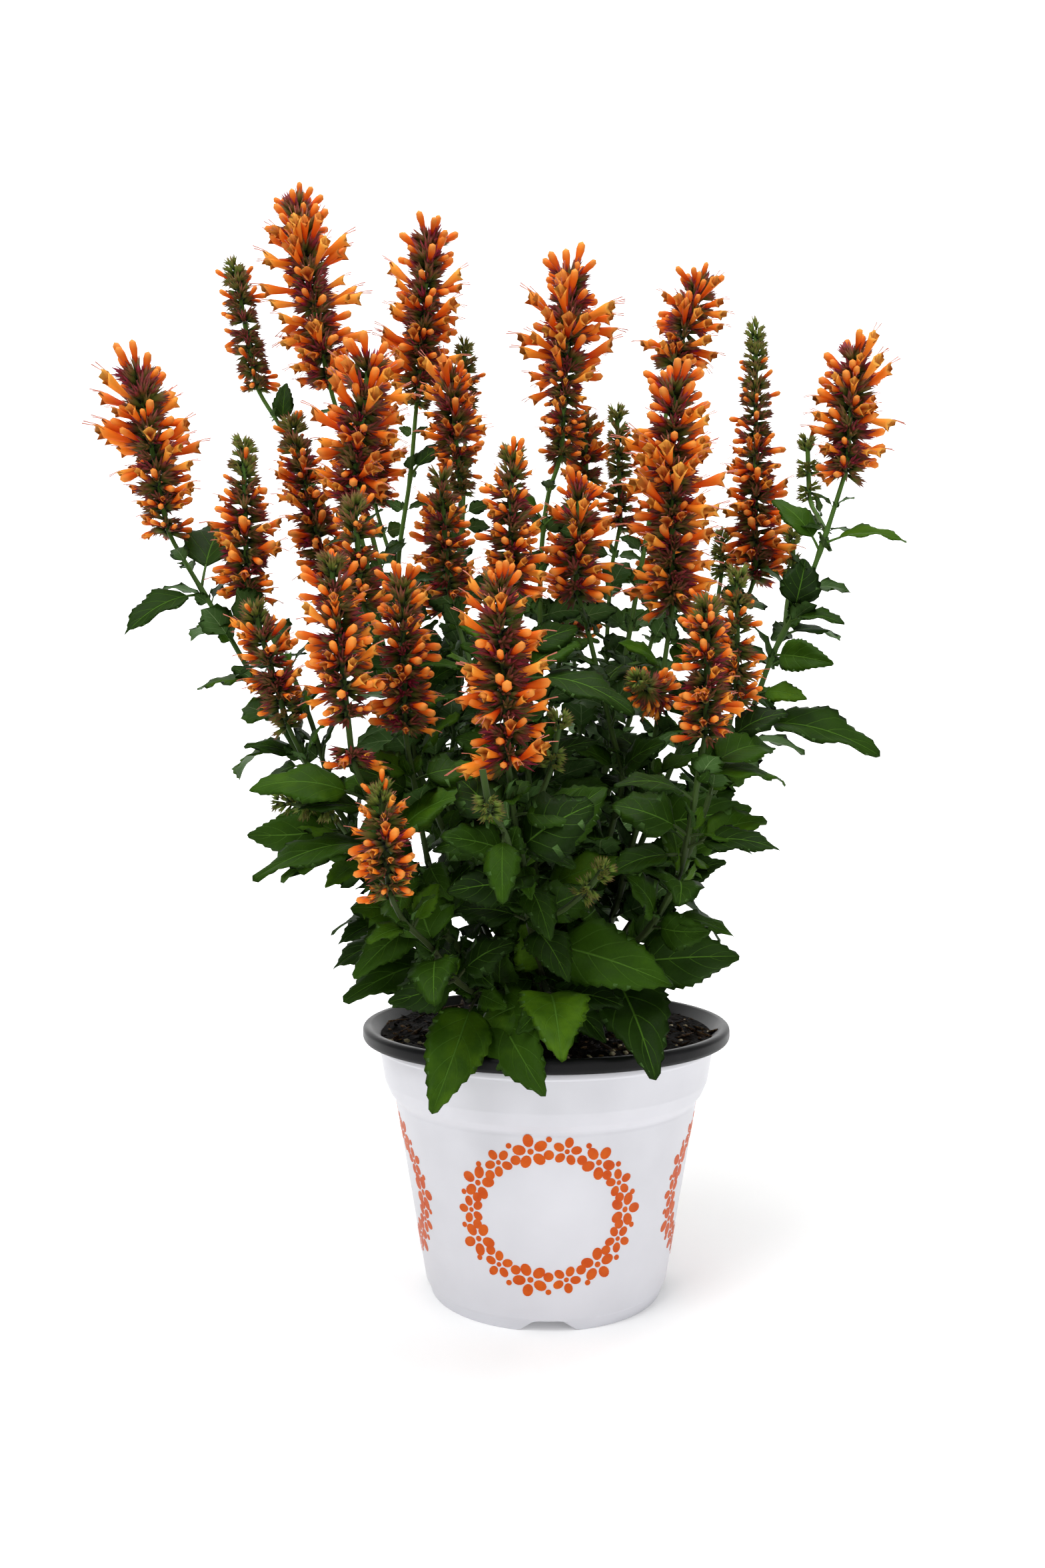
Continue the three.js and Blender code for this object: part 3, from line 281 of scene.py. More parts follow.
# Materials. Each noise or cell pattern has its real size in metres under the fraction line.
def whitePolypropylene():  # injection-moulded polypropylene: clean satin white with a wide soft highlight
    material, add = newMaterial("whitePolypropylene", IOR=1.49)
    place = add("ShaderNodeTexCoord").outputs["Object"]
    haze = add("ShaderNodeTexNoise", {"Vector": place, "Scale": 1 / 0.045, "Detail": 3.0})
    colour = add("ShaderNodeValToRGB", {0: haze}, ramp=[(0.3, "#D6D6DC"), (0.7, "#DFDFE5")])
    gloss = add("ShaderNodeMapRange", {"Value": haze, "To Min": 0.3, "To Max": 0.42})
    peel = add("ShaderNodeTexNoise", {"Vector": place, "Scale": 1 / 0.0016, "Detail": 2.0})
    bump = add("ShaderNodeBump", {"Height": peel, "Strength": 0.05, "Distance": 0.0003})
    shade(material, Base_Color=colour, Roughness=gloss, Normal=bump)
    return material


def blackPolypropylene():  # recycled black polypropylene: dark satin, with a grey bloom of dust and soil
    material, add = newMaterial("blackPolypropylene", IOR=1.49, Specular_IOR_Level=0.18)
    place = add("ShaderNodeTexCoord").outputs["Object"]
    dust = add("ShaderNodeTexNoise", {"Vector": place, "Scale": 1 / 0.03, "Detail": 6.0, "Roughness": 0.6})
    ramp = [(0.35, "#0A0A0B"), (0.6, "#101012"), (0.8, "#202022")]
    colour = add("ShaderNodeValToRGB", {0: dust}, ramp=ramp)
    gloss = add("ShaderNodeMapRange", {"Value": dust, "To Min": 0.3, "To Max": 0.55})
    grain = add("ShaderNodeTexNoise", {"Vector": place, "Scale": 1 / 0.0012, "Detail": 3.0})
    bump = add("ShaderNodeBump", {"Height": grain, "Strength": 0.12, "Distance": 0.0003})
    shade(material, Base_Color=colour, Roughness=gloss, Normal=bump)
    return material


def screenInk():  # screen-printed orange ink: flat and even, a little paler where it is thin
    material, add = newMaterial("screenInk", IOR=1.5, Roughness=0.38, Specular_IOR_Level=0.15)
    place = add("ShaderNodeTexCoord").outputs["Object"]
    density = add("ShaderNodeTexNoise", {"Vector": place, "Scale": 1 / 0.006, "Detail": 4.0})
    colour = add("ShaderNodeValToRGB", {0: density}, ramp=[(0.3, "#C84A06"), (0.7, "#D65E0C")])
    shade(material, Base_Color=colour)
    return material


def pottingMix():  # damp peat and composted bark: near-black crumbs with brown fibres
    material, add = newMaterial("pottingMix", IOR=1.45, Specular_IOR_Level=0.08)
    place = add("ShaderNodeTexCoord").outputs["Object"]
    clods = add("ShaderNodeTexNoise", {
        "Vector": place, "Scale": 1 / 0.009, "Detail": 8.0, "Roughness": 0.7,
    })
    crumbs = add("ShaderNodeTexVoronoi", {"Vector": place, "Scale": 1 / 0.0024})
    ramp = [(0.4, "#070504"), (0.55, "#120D0A"), (0.7, "#2B1F16"), (0.82, "#4A3624")]
    colour = add("ShaderNodeValToRGB", {0: clods}, ramp=ramp)
    gloss = add("ShaderNodeMapRange", {"Value": clods, "To Min": 0.75, "To Max": 1.0})
    coarse = add("ShaderNodeBump", {"Height": crumbs, "Strength": 0.9, "Distance": 0.0015})
    bump = add("ShaderNodeBump", {"Height": clods, "Strength": 0.7, "Distance": 0.002, "Normal": coarse})
    shade(material, Base_Color=colour, Roughness=gloss, Normal=bump)
    return material


def barkChip():  # shredded bark: dull brown flakes with fibre lines
    material, add = newMaterial("barkChip", IOR=1.45, Roughness=0.85, Specular_IOR_Level=0.15)
    place = add("ShaderNodeTexCoord").outputs["Object"]
    tint = add("ShaderNodeAttribute", attribute_name="tint").outputs["Fac"]
    fibre = add("ShaderNodeTexNoise", {"Vector": place, "Scale": 1 / 0.0014, "Detail": 3.0})
    mixed = add("ShaderNodeMath", {0: fibre, 1: tint}, operation="MULTIPLY")
    ramp = [(0.05, "#0A0806"), (0.25, "#18110B"), (0.42, "#38281A"), (0.62, "#7A5E3E")]
    colour = add("ShaderNodeValToRGB", {0: mixed}, ramp=ramp)
    bump = add("ShaderNodeBump", {"Height": fibre, "Strength": 0.5, "Distance": 0.0005})
    shade(material, Base_Color=colour, Normal=bump)
    return material


def perliteGrain():  # expanded perlite: chalky, off-white, stained by the peat
    material, add = newMaterial("perliteGrain", IOR=1.5, Roughness=0.9)
    place = add("ShaderNodeTexCoord").outputs["Object"]
    stain = add("ShaderNodeTexNoise", {"Vector": place, "Scale": 1 / 0.003, "Detail": 4.0})
    ramp = [(0.3, "#7C6A50"), (0.5, "#B7A684"), (0.7, "#D8CDB4")]
    colour = add("ShaderNodeValToRGB", {0: stain}, ramp=ramp)
    bump = add("ShaderNodeBump", {"Height": stain, "Strength": 0.4, "Distance": 0.0006})
    shade(material, Base_Color=colour, Normal=bump)
    return material


def stemSkin():  # ridged herb stem: brown and woody low down, fresh green near the spikes, finely downy
    material, add = newMaterial(
        "stemSkin", IOR=1.45, Roughness=0.55, Specular_IOR_Level=0.2, Sheen_Weight=0.06,
        Sheen_Roughness=0.5,
    )
    place = add("ShaderNodeTexCoord").outputs["Object"]
    height = add("ShaderNodeSeparateXYZ", {0: place}).outputs["Z"]
    patches = add("ShaderNodeTexNoise", {"Vector": place, "Scale": 1 / 0.02, "Detail": 4.0})
    age = add("ShaderNodeMapRange", {"Value": height, "From Min": 0.13, "From Max": 0.5})
    spread = add("ShaderNodeMapRange", {"Value": patches, "To Min": -0.2, "To Max": 0.2})
    level = add("ShaderNodeMath", {0: age, 1: spread}, operation="ADD")
    ramp = [(0.0, "#302E18"), (0.2, "#2F3D17"), (0.6, "#3B561D"), (0.95, "#4C7026")]
    shade(material, Base_Color=add("ShaderNodeValToRGB", {0: level}, ramp=ramp))
    return material


def leafBlade():  # hyssop leaf: dark matt green with sunk pale veins, grey-green and downy underneath
    material, add = newMaterial("leafBlade", IOR=1.4, Specular_IOR_Level=0.14)
    place = add("ShaderNodeTexCoord").outputs["Object"]
    along, across, under, tint = (
        add("ShaderNodeAttribute", attribute_name=name).outputs["Fac"] for name in valueNames
    )
    # veins: the midrib, and laterals that run out from it at a slope and fade toward the edge
    slant = -leafForm["veinSlope"]
    slope = add("ShaderNodeMath", {0: across, 1: slant, 2: along}, operation="MULTIPLY_ADD")
    count = add("ShaderNodeMath", {0: slope, 1: leafForm["veins"]}, operation="MULTIPLY")
    phase = add("ShaderNodeMath", {0: count}, operation="FRACT")
    middle = add("ShaderNodeMath", {0: phase, 1: 0.5}, operation="SUBTRACT")
    away = add("ShaderNodeMath", {0: middle}, operation="ABSOLUTE")
    side, midrib = (
        add(
            "ShaderNodeMapRange", {"Value": offset, "From Min": wide, "From Max": 0.012},
            interpolation_type="SMOOTHSTEP",
        )
        for offset, wide in ((away, 0.055), (across, 0.045))
    )
    fade = add("ShaderNodeMapRange", {"Value": across, "To Min": 0.6, "To Max": 0.1})
    lateral = add("ShaderNodeMath", {0: side, 1: fade}, operation="MULTIPLY")
    veins = add("ShaderNodeMath", {0: lateral, 1: midrib}, operation="MAXIMUM")
    mottle = add("ShaderNodeTexNoise", {"Vector": place, "Scale": 1 / 0.012, "Detail": 4.0})
    net = add("ShaderNodeTexVoronoi", {"Vector": place, "Scale": 1 / 0.0022}, feature="DISTANCE_TO_EDGE")
    patch = add("ShaderNodeMath", {0: mottle, 1: 0.4}, operation="MULTIPLY")
    level = add("ShaderNodeMath", {0: tint, 1: 0.6, 2: patch}, operation="MULTIPLY_ADD")
    ramp = [(0.15, "#122503"), (0.45, "#1E3703"), (0.7, "#2D4C05"), (0.9, "#486A0A")]
    flesh = add("ShaderNodeValToRGB", {0: level}, ramp=ramp)
    upper = add("ShaderNodeMix", {0: veins, 6: flesh, 7: linear("#4A7020")}, data_type="RGBA")
    lower = add("ShaderNodeMix", {0: veins, 6: linear("#4A6A34"), 7: linear("#7E9C62")}, data_type="RGBA")
    colour = add("ShaderNodeMix", {0: under, 6: upper.outputs[2], 7: lower.outputs[2]}, data_type="RGBA")
    gloss = add("ShaderNodeMapRange", {"Value": mottle, "To Min": 0.5, "To Max": 0.68})
    cells = add("ShaderNodeBump", {"Height": net, "Strength": 0.35, "Distance": 0.0006})
    sunk = {"Height": veins, "Strength": 0.6, "Distance": 0.0008, "Normal": cells}
    bump = add("ShaderNodeBump", sunk, invert=True)
    shade(material, Base_Color=colour.outputs[2], Roughness=gloss, Normal=bump)
    return material


def petalTube():  # tubular corolla: matt orange, red at the base and yellower at the lips, redder in bud
    material, add = newMaterial("petalTube", IOR=1.4, Roughness=0.5, Specular_IOR_Level=0.12)
    place = add("ShaderNodeTexCoord").outputs["Object"]
    along, under, tint = (
        add("ShaderNodeAttribute", attribute_name=name).outputs["Fac"]
        for name in ("along", "under", "tint")
    )
    ageRamp = [(0.0, "#FFB048"), (0.34, "#F68E24"), (0.64, "#E04E0E"), (1.0, "#B4200A")]
    lengthRamp = [(0.0, "#8E1C08"), (0.45, "#D0420C"), (0.75, "#F28420"), (1.0, "#FFC45C")]
    age = add("ShaderNodeValToRGB", {0: tint}, ramp=ageRamp)
    length = add("ShaderNodeValToRGB", {0: along}, ramp=lengthRamp)
    outside = add("ShaderNodeMix", {0: 0.5, 6: length, 7: age}, data_type="RGBA")
    both = add("ShaderNodeMix", {0: under, 6: outside.outputs[2], 7: linear("#B23A17")}, data_type="RGBA")
    streaks = add("ShaderNodeTexNoise", {"Vector": place, "Scale": 1 / 0.0018, "Detail": 3.0})
    worn = add("ShaderNodeMapRange", {"Value": streaks, "From Min": 0.5, "From Max": 0.8, "To Max": 0.2})
    colour = add("ShaderNodeMix", {0: worn, 6: both.outputs[2], 7: linear("#D2581C")}, data_type="RGBA")
    shade(material, Base_Color=colour.outputs[2])
    return material


def calyxHusk():  # ribbed calyx: olive up the tube and plum at the teeth, finely hairy; dark at the base as painted shade, where the calyces crowd round the spike's axis
    material, add = newMaterial(
        "calyxHusk", IOR=1.45, Roughness=0.65, Specular_IOR_Level=0.14, Sheen_Weight=0.04,
        Sheen_Roughness=0.45,
    )
    along, tint = (
        add("ShaderNodeAttribute", attribute_name=name).outputs["Fac"] for name in ("along", "tint")
    )
    # the first stop of each ramp is painted shade at the calyx's base, next to the spike's axis; the later
    # stops are the calyx's own colour
    freshRamp = [(0.0, "#1E280A"), (0.35, "#5A7028"), (0.75, "#66702A"), (1.0, "#6E3C30")]
    ripeRamp = [(0.0, "#181A06"), (0.3, "#464A16"), (0.55, "#5E1418"), (0.85, "#8A1436")]
    fresh, ripe = (add("ShaderNodeValToRGB", {0: along}, ramp=ramp) for ramp in (freshRamp, ripeRamp))
    colour = add("ShaderNodeMix", {0: tint, 6: fresh, 7: ripe}, data_type="RGBA")
    shade(material, Base_Color=colour.outputs[2])
    return material


def stamenThread():  # filaments and style: thin, pale rose
    material, add = newMaterial("stamenThread", IOR=1.4, Roughness=0.5)
    along = add("ShaderNodeAttribute", attribute_name="along").outputs["Fac"]
    colour = add("ShaderNodeValToRGB", {0: along}, ramp=[(0.2, "#DE7A4A"), (0.9, "#C4705E")])
    shade(material, Base_Color=colour)
    return material


white = whitePolypropylene()
black = blackPolypropylene()
ink = screenInk()
peat = pottingMix()
bark = barkChip()
perlite = perliteGrain()
skin = stemSkin()
blade = leafBlade()
petal = petalTube()
husk = calyxHusk()
thread = stamenThread()
print("materials made")




# Pots. The outer sizes come from the frame; the wall and seam heights are the moulds' own.
rimBox, collarBox, soilBox = (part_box(node) for node in ("grow_pot", "cover_pot", "soil"))
pot = {
    "sides": 192, "edge": 0.5, "sharpAngle": 40,
    "rimRadius": rimBox[1].x / mm, "rimTop": rimBox[1].z / mm, "rimDrop": 7.5, "rimRoll": 2.5,
    "rimWall": 1.6, "rimBreadth": 5, "rimFlat": 0.8, "rimCrown": (0.1, 0.9), "lipRise": 2,
    "collarRadius": collarBox[1].x / mm, "collarTop": collarBox[1].z / mm, "bead": 0.7, "beadStep": 0.4,
    "beadHeight": 3.4, "bellyRise": 10.5, "bellyRadius": 90, "shoulderHeight": 107, "shoulderRise": 3.5,
    "shoulderStep": 3, "bodyRadius": 84, "groove": 0.5, "grooveHeight": 1.3,
    "footRadius": 67, "seamHeight": 7, "seamStep": 1, "footTaper": 3, "footRing": 8,
    "floor": 8, "padRadius": 14, "padTaper": 1, "coverWall": 1.6, "growWall": 1.4, "nestGap": 0.5,
    "seatGap": 0.3, "notches": 4, "notchWidth": 31, "notchTop": 12, "notchHeight": 6, "notchClear": 4,
    "drainRadius": 5, "drainPlace": 46, "drainSides": 24,
}


def rounded(profile, radius):  # softens each corner of a profile as a mould does
    result = [profile[0]]
    for before, corner, after in zip(profile, profile[1:], profile[2:]):
        corner, points = Vector(corner), []
        for other in (Vector(before), Vector(after)):
            reach = min(radius, (other - corner).length * 0.45)
            points.append(corner + (other - corner).normalized() * reach)
        middle = corner * 0.5 + (points[0] + points[1]) * 0.25
        result += [tuple(points[0]), tuple(middle), tuple(points[1])]
    return result + [profile[-1]]


def turned(build, profile, sides, shift=None):  # turns a profile that runs from the axis and back to it
    previous = None
    for radius, height in profile:
        if radius == 0:
            row = [build.add(Vector((0, 0, height)))]
        else:
            row = []
            for angle in (fullTurn * side / sides for side in range(sides)):
                point = polar(radius, angle, height)
                row.append(build.add(shift(point, angle) if shift else point))
        if previous and len(previous) == 1:
            build.fan(row[::-1], previous[0])
        elif previous and len(row) == 1:
            build.fan(previous, row[0])
        elif previous:
            build.band(previous, row)
        previous = row


def notched(point, angle):  # lifts the foot's edge where a drain notch is cut
    radius = math.hypot(point.x, point.y)
    if point.z > pot["notchHeight"] or radius < pot["padRadius"] + pot["notchClear"]:
        return point
    pitch = fullTurn / pot["notches"]
    away = abs((angle + pitch / 2) % pitch - pitch / 2) * radius
    share = (pot["notchWidth"] / 2 - away) / (pot["notchWidth"] / 2 - pot["notchTop"] / 2)
    lift = pot["notchHeight"] * min(max(share, 0), 1)
    return Vector((point.x, point.y, max(point.z, lift)))


def drilled(piece, top):  # cuts the drain holes through a pot's floor, and keeps the floor's edges sharp
    drill = Build()
    for index in range(pot["notches"]):
        centre = polar(pot["drainPlace"], fullTurn * index / pot["notches"])
        drill.tube([
            [
                drill.add(centre + polar(pot["drainRadius"], fullTurn * k / pot["drainSides"], height))
                for k in range(pot["drainSides"])
            ]
            for height in (-1, top)
        ])
    tool = drill.finish("drainDrill", [])
    cut = piece.modifiers.new("drain", "BOOLEAN")
    cut.object = tool
    cut.solver = "EXACT"
    keepMesh(piece, cut)
    bpy.data.objects.remove(tool)
    sharpened(piece)


def sharpened(piece):  # flat where faces meet at more than an angle, smooth elsewhere
    piece.data.set_sharp_from_angle(angle=math.radians(pot["sharpAngle"]))


def coverPot():
    wall, floor, shoulder, top = pot["coverWall"], pot["floor"], pot["shoulderHeight"], pot["collarTop"]
    body, collar, foot = pot["bodyRadius"], pot["collarRadius"], pot["footRadius"]
    shelf, belly = (body + pot["shoulderStep"], shoulder + pot["shoulderRise"]), shoulder + pot["bellyRise"]
    beadLow, drop = top - pot["beadHeight"], 2 * pot["grooveHeight"]
    grooveEdge = body - (body - foot) * drop / (shoulder - pot["seamHeight"])
    outside = [
        (pot["padRadius"], 0), (pot["padRadius"] + pot["padTaper"], floor), (foot - pot["footRing"], floor),
        (foot - pot["footRing"], 0), (foot - pot["footTaper"], 0),
        (foot - pot["seamStep"], pot["seamHeight"] - pot["seamStep"]), (foot, pot["seamHeight"]),
        (grooveEdge, shoulder - drop), (body - pot["groove"], shoulder - pot["grooveHeight"]),
        (body, shoulder), shelf, (pot["bellyRadius"], belly),
        (collar - pot["bead"] - pot["beadStep"], beadLow),
        (collar, beadLow + pot["bead"]), (collar, top),
    ]
    inside = [
        (collar - wall, top), (pot["bellyRadius"] - wall, belly), (shelf[0] - wall, shelf[1]),
        (body - wall, shoulder), (foot - wall, floor + wall),
    ]
    profile = [(0, 0), *outside, *inside, (0, floor + wall)]
    build = Build()
    turned(build, rounded(profile, pot["edge"]), pot["sides"], notched)
    piece = build.finish("coverPot", [white])
    drilled(piece, floor + 2 * wall)
    keepPiece(piece, "cover_plastic", "cover_pot")


def growPot():
    wall, gap = pot["growWall"], pot["coverWall"] + pot["nestGap"]
    floor = pot["floor"] + pot["coverWall"] + pot["seatGap"]
    rim, roll, top = pot["rimRadius"], pot["rimRoll"], pot["rimTop"]
    collar, body, foot = pot["collarRadius"] - gap, pot["bodyRadius"] - gap, pot["footRadius"] - gap
    lip, hem = rim - pot["rimWall"], top - pot["rimDrop"]
    curl = [
        (rim - roll + roll * math.cos(a), top - roll + roll * math.sin(a))
        for a in (math.radians(15 * k) for k in range(7))
    ]
    outside = [
        (foot, floor), (body, pot["shoulderHeight"]), (collar, pot["collarTop"] + pot["nestGap"]),
        (lip, top - roll - pot["rimWall"]), (lip, hem),
        (rim - pot["rimWall"] / 2, hem), (rim, hem + pot["rimWall"]),
    ]
    crown, edge = pot["rimCrown"]
    inside = [
        (rim - pot["rimBreadth"] + pot["rimFlat"], top - crown), (rim - pot["rimBreadth"], top - edge),
        (collar - wall, pot["collarTop"] + pot["lipRise"]), (body - wall, pot["shoulderHeight"]),
        (foot - wall, floor + wall),
    ]
    profile = [(0, floor), *outside, *curl, *inside, (0, floor + wall)]
    build = Build()
    turned(build, rounded(profile, pot["edge"]), pot["sides"])
    piece = build.finish("growPot", [black])
    drilled(piece, floor + 2 * wall)
    keepPiece(piece, "grow_plastic", "grow_pot")


coverPot()
growPot()
print("pots turned")


# Print: a ring of small blossoms, large and small by turns, with dots outside and inside between them
prints = {
    "copies": 4, "height": 63, "halfWidth": 41, "halfHeight": 35, "blossoms": 14, "sizes": (0.82, 1.0),
    "petals": 5, "petalLength": 6.8, "petalWidth": 5.4, "eye": 1.6, "eyeClear": 2.4, "corners": 14,
    "dots": ((2.6, -2.52), (1.5, 5.6)), "lift": 0.14, "sink": 0.1,
}


def onBody(turn, across, height, lift):  # a point on the outer pot's tapered body
    rise = (height - pot["seamHeight"]) / (pot["shoulderHeight"] - pot["seamHeight"])
    radius = pot["footRadius"] + (pot["bodyRadius"] - pot["footRadius"]) * rise
    angle = turn + across / radius
    return Vector(((radius + lift) * math.sin(angle), -(radius + lift) * math.cos(angle), height))


def inkSpot(build, turn, x, z, length, width, angle=0.0):  # an oval of ink, its edge let into the pot
    outline = []
    for a in (fullTurn * k / prints["corners"] for k in range(prints["corners"])):
        u, v = length * math.cos(a), width * math.sin(a)
        outline.append((
            x + u * math.cos(angle) - v * math.sin(angle), z + u * math.sin(angle) + v * math.cos(angle),
        ))
    build.tube([
        [build.add(onBody(turn, across, prints["height"] + rise, lift)) for across, rise in outline]
        for lift in (-prints["sink"], prints["lift"])
    ])


def onRing(angle, out=0.0):  # a place on the printed ring, from its middle
    return (prints["halfWidth"] + out) * math.sin(angle), (prints["halfHeight"] + out) * math.cos(angle)


def printRing():
    build = Build()
    for turn in (fullTurn * copy / prints["copies"] for copy in range(prints["copies"])):
        for index in range(prints["blossoms"]):
            size = prints["sizes"][index % 2]
            a = fullTurn * (index + 0.5) / prints["blossoms"]
            x, z = onRing(a)
            reach = size * (prints["eyeClear"] + prints["petalLength"] / 2)
            for b in (a + fullTurn * k / prints["petals"] for k in range(prints["petals"])):
                inkSpot(
                    build, turn, x + reach * math.sin(b), z + reach * math.cos(b),
                    size * prints["petalLength"] / 2, size * prints["petalWidth"] / 2, math.pi / 2 - b,
                )
            inkSpot(build, turn, x, z, size * prints["eye"], size * prints["eye"])
            for radius, out in prints["dots"]:
                inkSpot(build, turn, *onRing(fullTurn * index / prints["blossoms"], out), radius, radius)
    piece = build.finish("printRing", [ink])
    sharpened(piece)
    keepPiece(piece)


printRing()
print("print laid")


# Soil: a low uneven bed with bark chips and perlite scattered over it
bed = {
    "top": 143, "edgeDrop": 1, "gap": 0.4, "sides": 120, "rings": 34, "seed": 3,
    "waves": 9, "swell": (0.3, 1.0), "waveNumber": (0.06, 0.4), "relief": 1.6, "fine": 0.7,
    "crownRun": 20, "edgeRun": 4, "litterDepth": 8, "flattest": 0.6, "lean": (0.5, 6.28),
    "litterTint": (0.2, 1.0),
    "chips": {"size": (1.6, 4.0), "perSquareMetre": 30000.0, "seed": 5},
    "grains": {"size": (1.6, 4.2), "perSquareMetre": 3600.0, "seed": 11},
    "flakes": {"size": (5.0, 13.0), "perSquareMetre": 4200.0, "seed": 23},
}
pebbleForm = {
    "sides": 6, "rings": ((-0.25, 0.42), (0.22, 0.46)), "wobble": (0.7, 1.2), "heightWobble": (0.6, 1.3),
}


def pebble(name, material, stretch, seed):  # one chip or grain, one millimetre across, knocked out of round
    draw = random.Random(seed)
    build = Build()
    lowest = build.add(Vector((0, 0, -0.5)) * stretch[2])
    rows = []
    for height, radius in pebbleForm["rings"]:
        rows.append([
            build.add(Vector((
                stretch[0] * radius * math.cos(a) * draw.uniform(*pebbleForm["wobble"]),
                stretch[1] * radius * math.sin(a) * draw.uniform(*pebbleForm["wobble"]),
                stretch[2] * height * draw.uniform(*pebbleForm["heightWobble"]),
            )))
            for a in (fullTurn * k / pebbleForm["sides"] for k in range(pebbleForm["sides"]))
        ])
    build.fan(rows[0][::-1], lowest)
    build.band(*rows)
    build.fan(rows[1], build.add(Vector((0, 0, 0.5)) * stretch[2]))
    return build.finish(name, [material], linked=False, labels=shapeValues)


def scatterTree():  # strews one small shape over a surface, lying flat at any turn
    tree, add, given = newTree("strewnOnSoil", {
        "Shape": "Object", "Density": "Float", "Smallest": "Float", "Largest": "Float", "Seed": "Int",
        "Material": "Material",
    })
    level = add("ShaderNodeSeparateXYZ", {0: add("GeometryNodeInputNormal")}).outputs["Z"]
    height = add("ShaderNodeSeparateXYZ", {0: add("GeometryNodeInputPosition")}).outputs["Z"]
    limit = (bed["top"] - bed["litterDepth"]) * mm
    facesUp = add("FunctionNodeCompare", {0: level, 1: bed["flattest"]}, operation="GREATER_THAN")
    onTop = add("FunctionNodeCompare", {0: height, 1: limit}, operation="GREATER_THAN")
    where = add("FunctionNodeBooleanMath", {0: facesUp, 1: onTop}, operation="AND")
    points = add("GeometryNodeDistributePointsOnFaces", {
        "Mesh": given["Geometry"], "Selection": where, "Density": given["Density"], "Seed": given["Seed"],
    })
    size = add("FunctionNodeRandomValue", {
        2: given["Smallest"], 3: given["Largest"], "Seed": given["Seed"],
    })
    tilt, turn = bed["lean"]
    lean = add(
        "FunctionNodeRandomValue", {0: (-tilt, -tilt, 0.0), 1: (tilt, tilt, turn), "Seed": given["Seed"]},
        data_type="FLOAT_VECTOR",
    )
    shape = add("GeometryNodeObjectInfo", {"Object": given["Shape"]})
    low, high = bed["litterTint"]
    tint = add("FunctionNodeRandomValue", {2: low, 3: high, "Seed": given["Seed"]})
    solid = planted(add, tint.outputs[1], {
        "Points": points, "Instance": shape.outputs["Geometry"], "Scale": size.outputs[1],
        "Rotation": add("FunctionNodeEulerToRotation", {0: lean}),
    })
    return endTree(tree, add("GeometryNodeSetMaterial", {0: solid, "Material": given["Material"]}))


def soilBed():
    wall = pot["coverWall"] + pot["nestGap"] + pot["growWall"] + bed["gap"]
    brim, bend = bed["top"] - bed["edgeDrop"], pot["collarTop"] + pot["lipRise"]
    collar, mouth = pot["collarRadius"] - wall, pot["rimRadius"] - pot["rimBreadth"]
    edge = collar + (mouth - collar) * (brim - bend) / (pot["rimTop"] - bend) - bed["gap"]
    floor = soilBox[0].z / mm
    profile = [
        (0, floor), (pot["footRadius"] - wall, floor), (pot["bodyRadius"] - wall, pot["shoulderHeight"]),
        (collar, bend), *((edge * (1 - k / bed["rings"]), brim) for k in range(bed["rings"])),
        (0, bed["top"]),
    ]
    draw = random.Random(bed["seed"])
    waves = [
        (draw.uniform(*bed["waveNumber"]), draw.uniform(*bed["waveNumber"]), draw.uniform(0, 6.28),
         draw.uniform(*bed["swell"]))
        for _ in range(bed["waves"])
    ]

    def heaped(point, angle):  # long swells from a few waves, and a rough crumb on each point
        inward = edge - math.hypot(point.x, point.y)
        if point.z < brim:
            return point
        swell = sum(h * math.sin(u * point.x + p) * math.cos(v * point.y - p) for u, v, p, h in waves) / 3
        crown = (bed["top"] - brim) * min(inward / bed["crownRun"], 1)
        rough = bed["relief"] * swell + bed["fine"] * draw.uniform(-1, 1)
        lift = crown + rough * min(inward / bed["edgeRun"], 1)
        return Vector((point.x, point.y, brim + lift))

    build = Build()
    turned(build, profile, bed["sides"], heaped)
    soil = build.finish("soilBed", [peat])
    keepPiece(soil, "potting_soil", "soil")
    tree = scatterTree()
    shapes = {
        "chips": pebble("chipShape", bark, (1.3, 0.7, 0.35), 2),
        "flakes": pebble("flakeShape", bark, (1.5, 0.35, 0.16), 7),
        "grains": pebble("grainShape", perlite, (1.0, 0.9, 0.8), 4),
    }
    for name, shape in shapes.items():
        litter = newObject("soil" + name.capitalize(), soil.data.copy())
        facts = bed[name]
        runTree(litter, tree, {
            "Shape": shape, "Density": facts["perSquareMetre"], "Smallest": facts["size"][0],
            "Largest": facts["size"][1], "Seed": facts["seed"], "Material": shape.data.materials[0],
        })
        keepPiece(litter, "potting_soil")
        bpy.data.objects.remove(shape)


soilBed()
print("soil filled")


# Layout: every place is (across, height, depth) as an eye 700 mm in front of the pot sees it. Across and
# height are read on the upright plane through the pot's axis, and depth slides the point along its line of
# sight.
def spreadAt(depth):
    return (view["distance"] + depth) / view["distance"]


def place(spot):
    across, height, depth = spot
    spread = spreadAt(depth)
    x = view["across"] + (across - view["across"]) * spread
    return Vector((x, depth, view["height"] + (height - view["height"]) * spread))


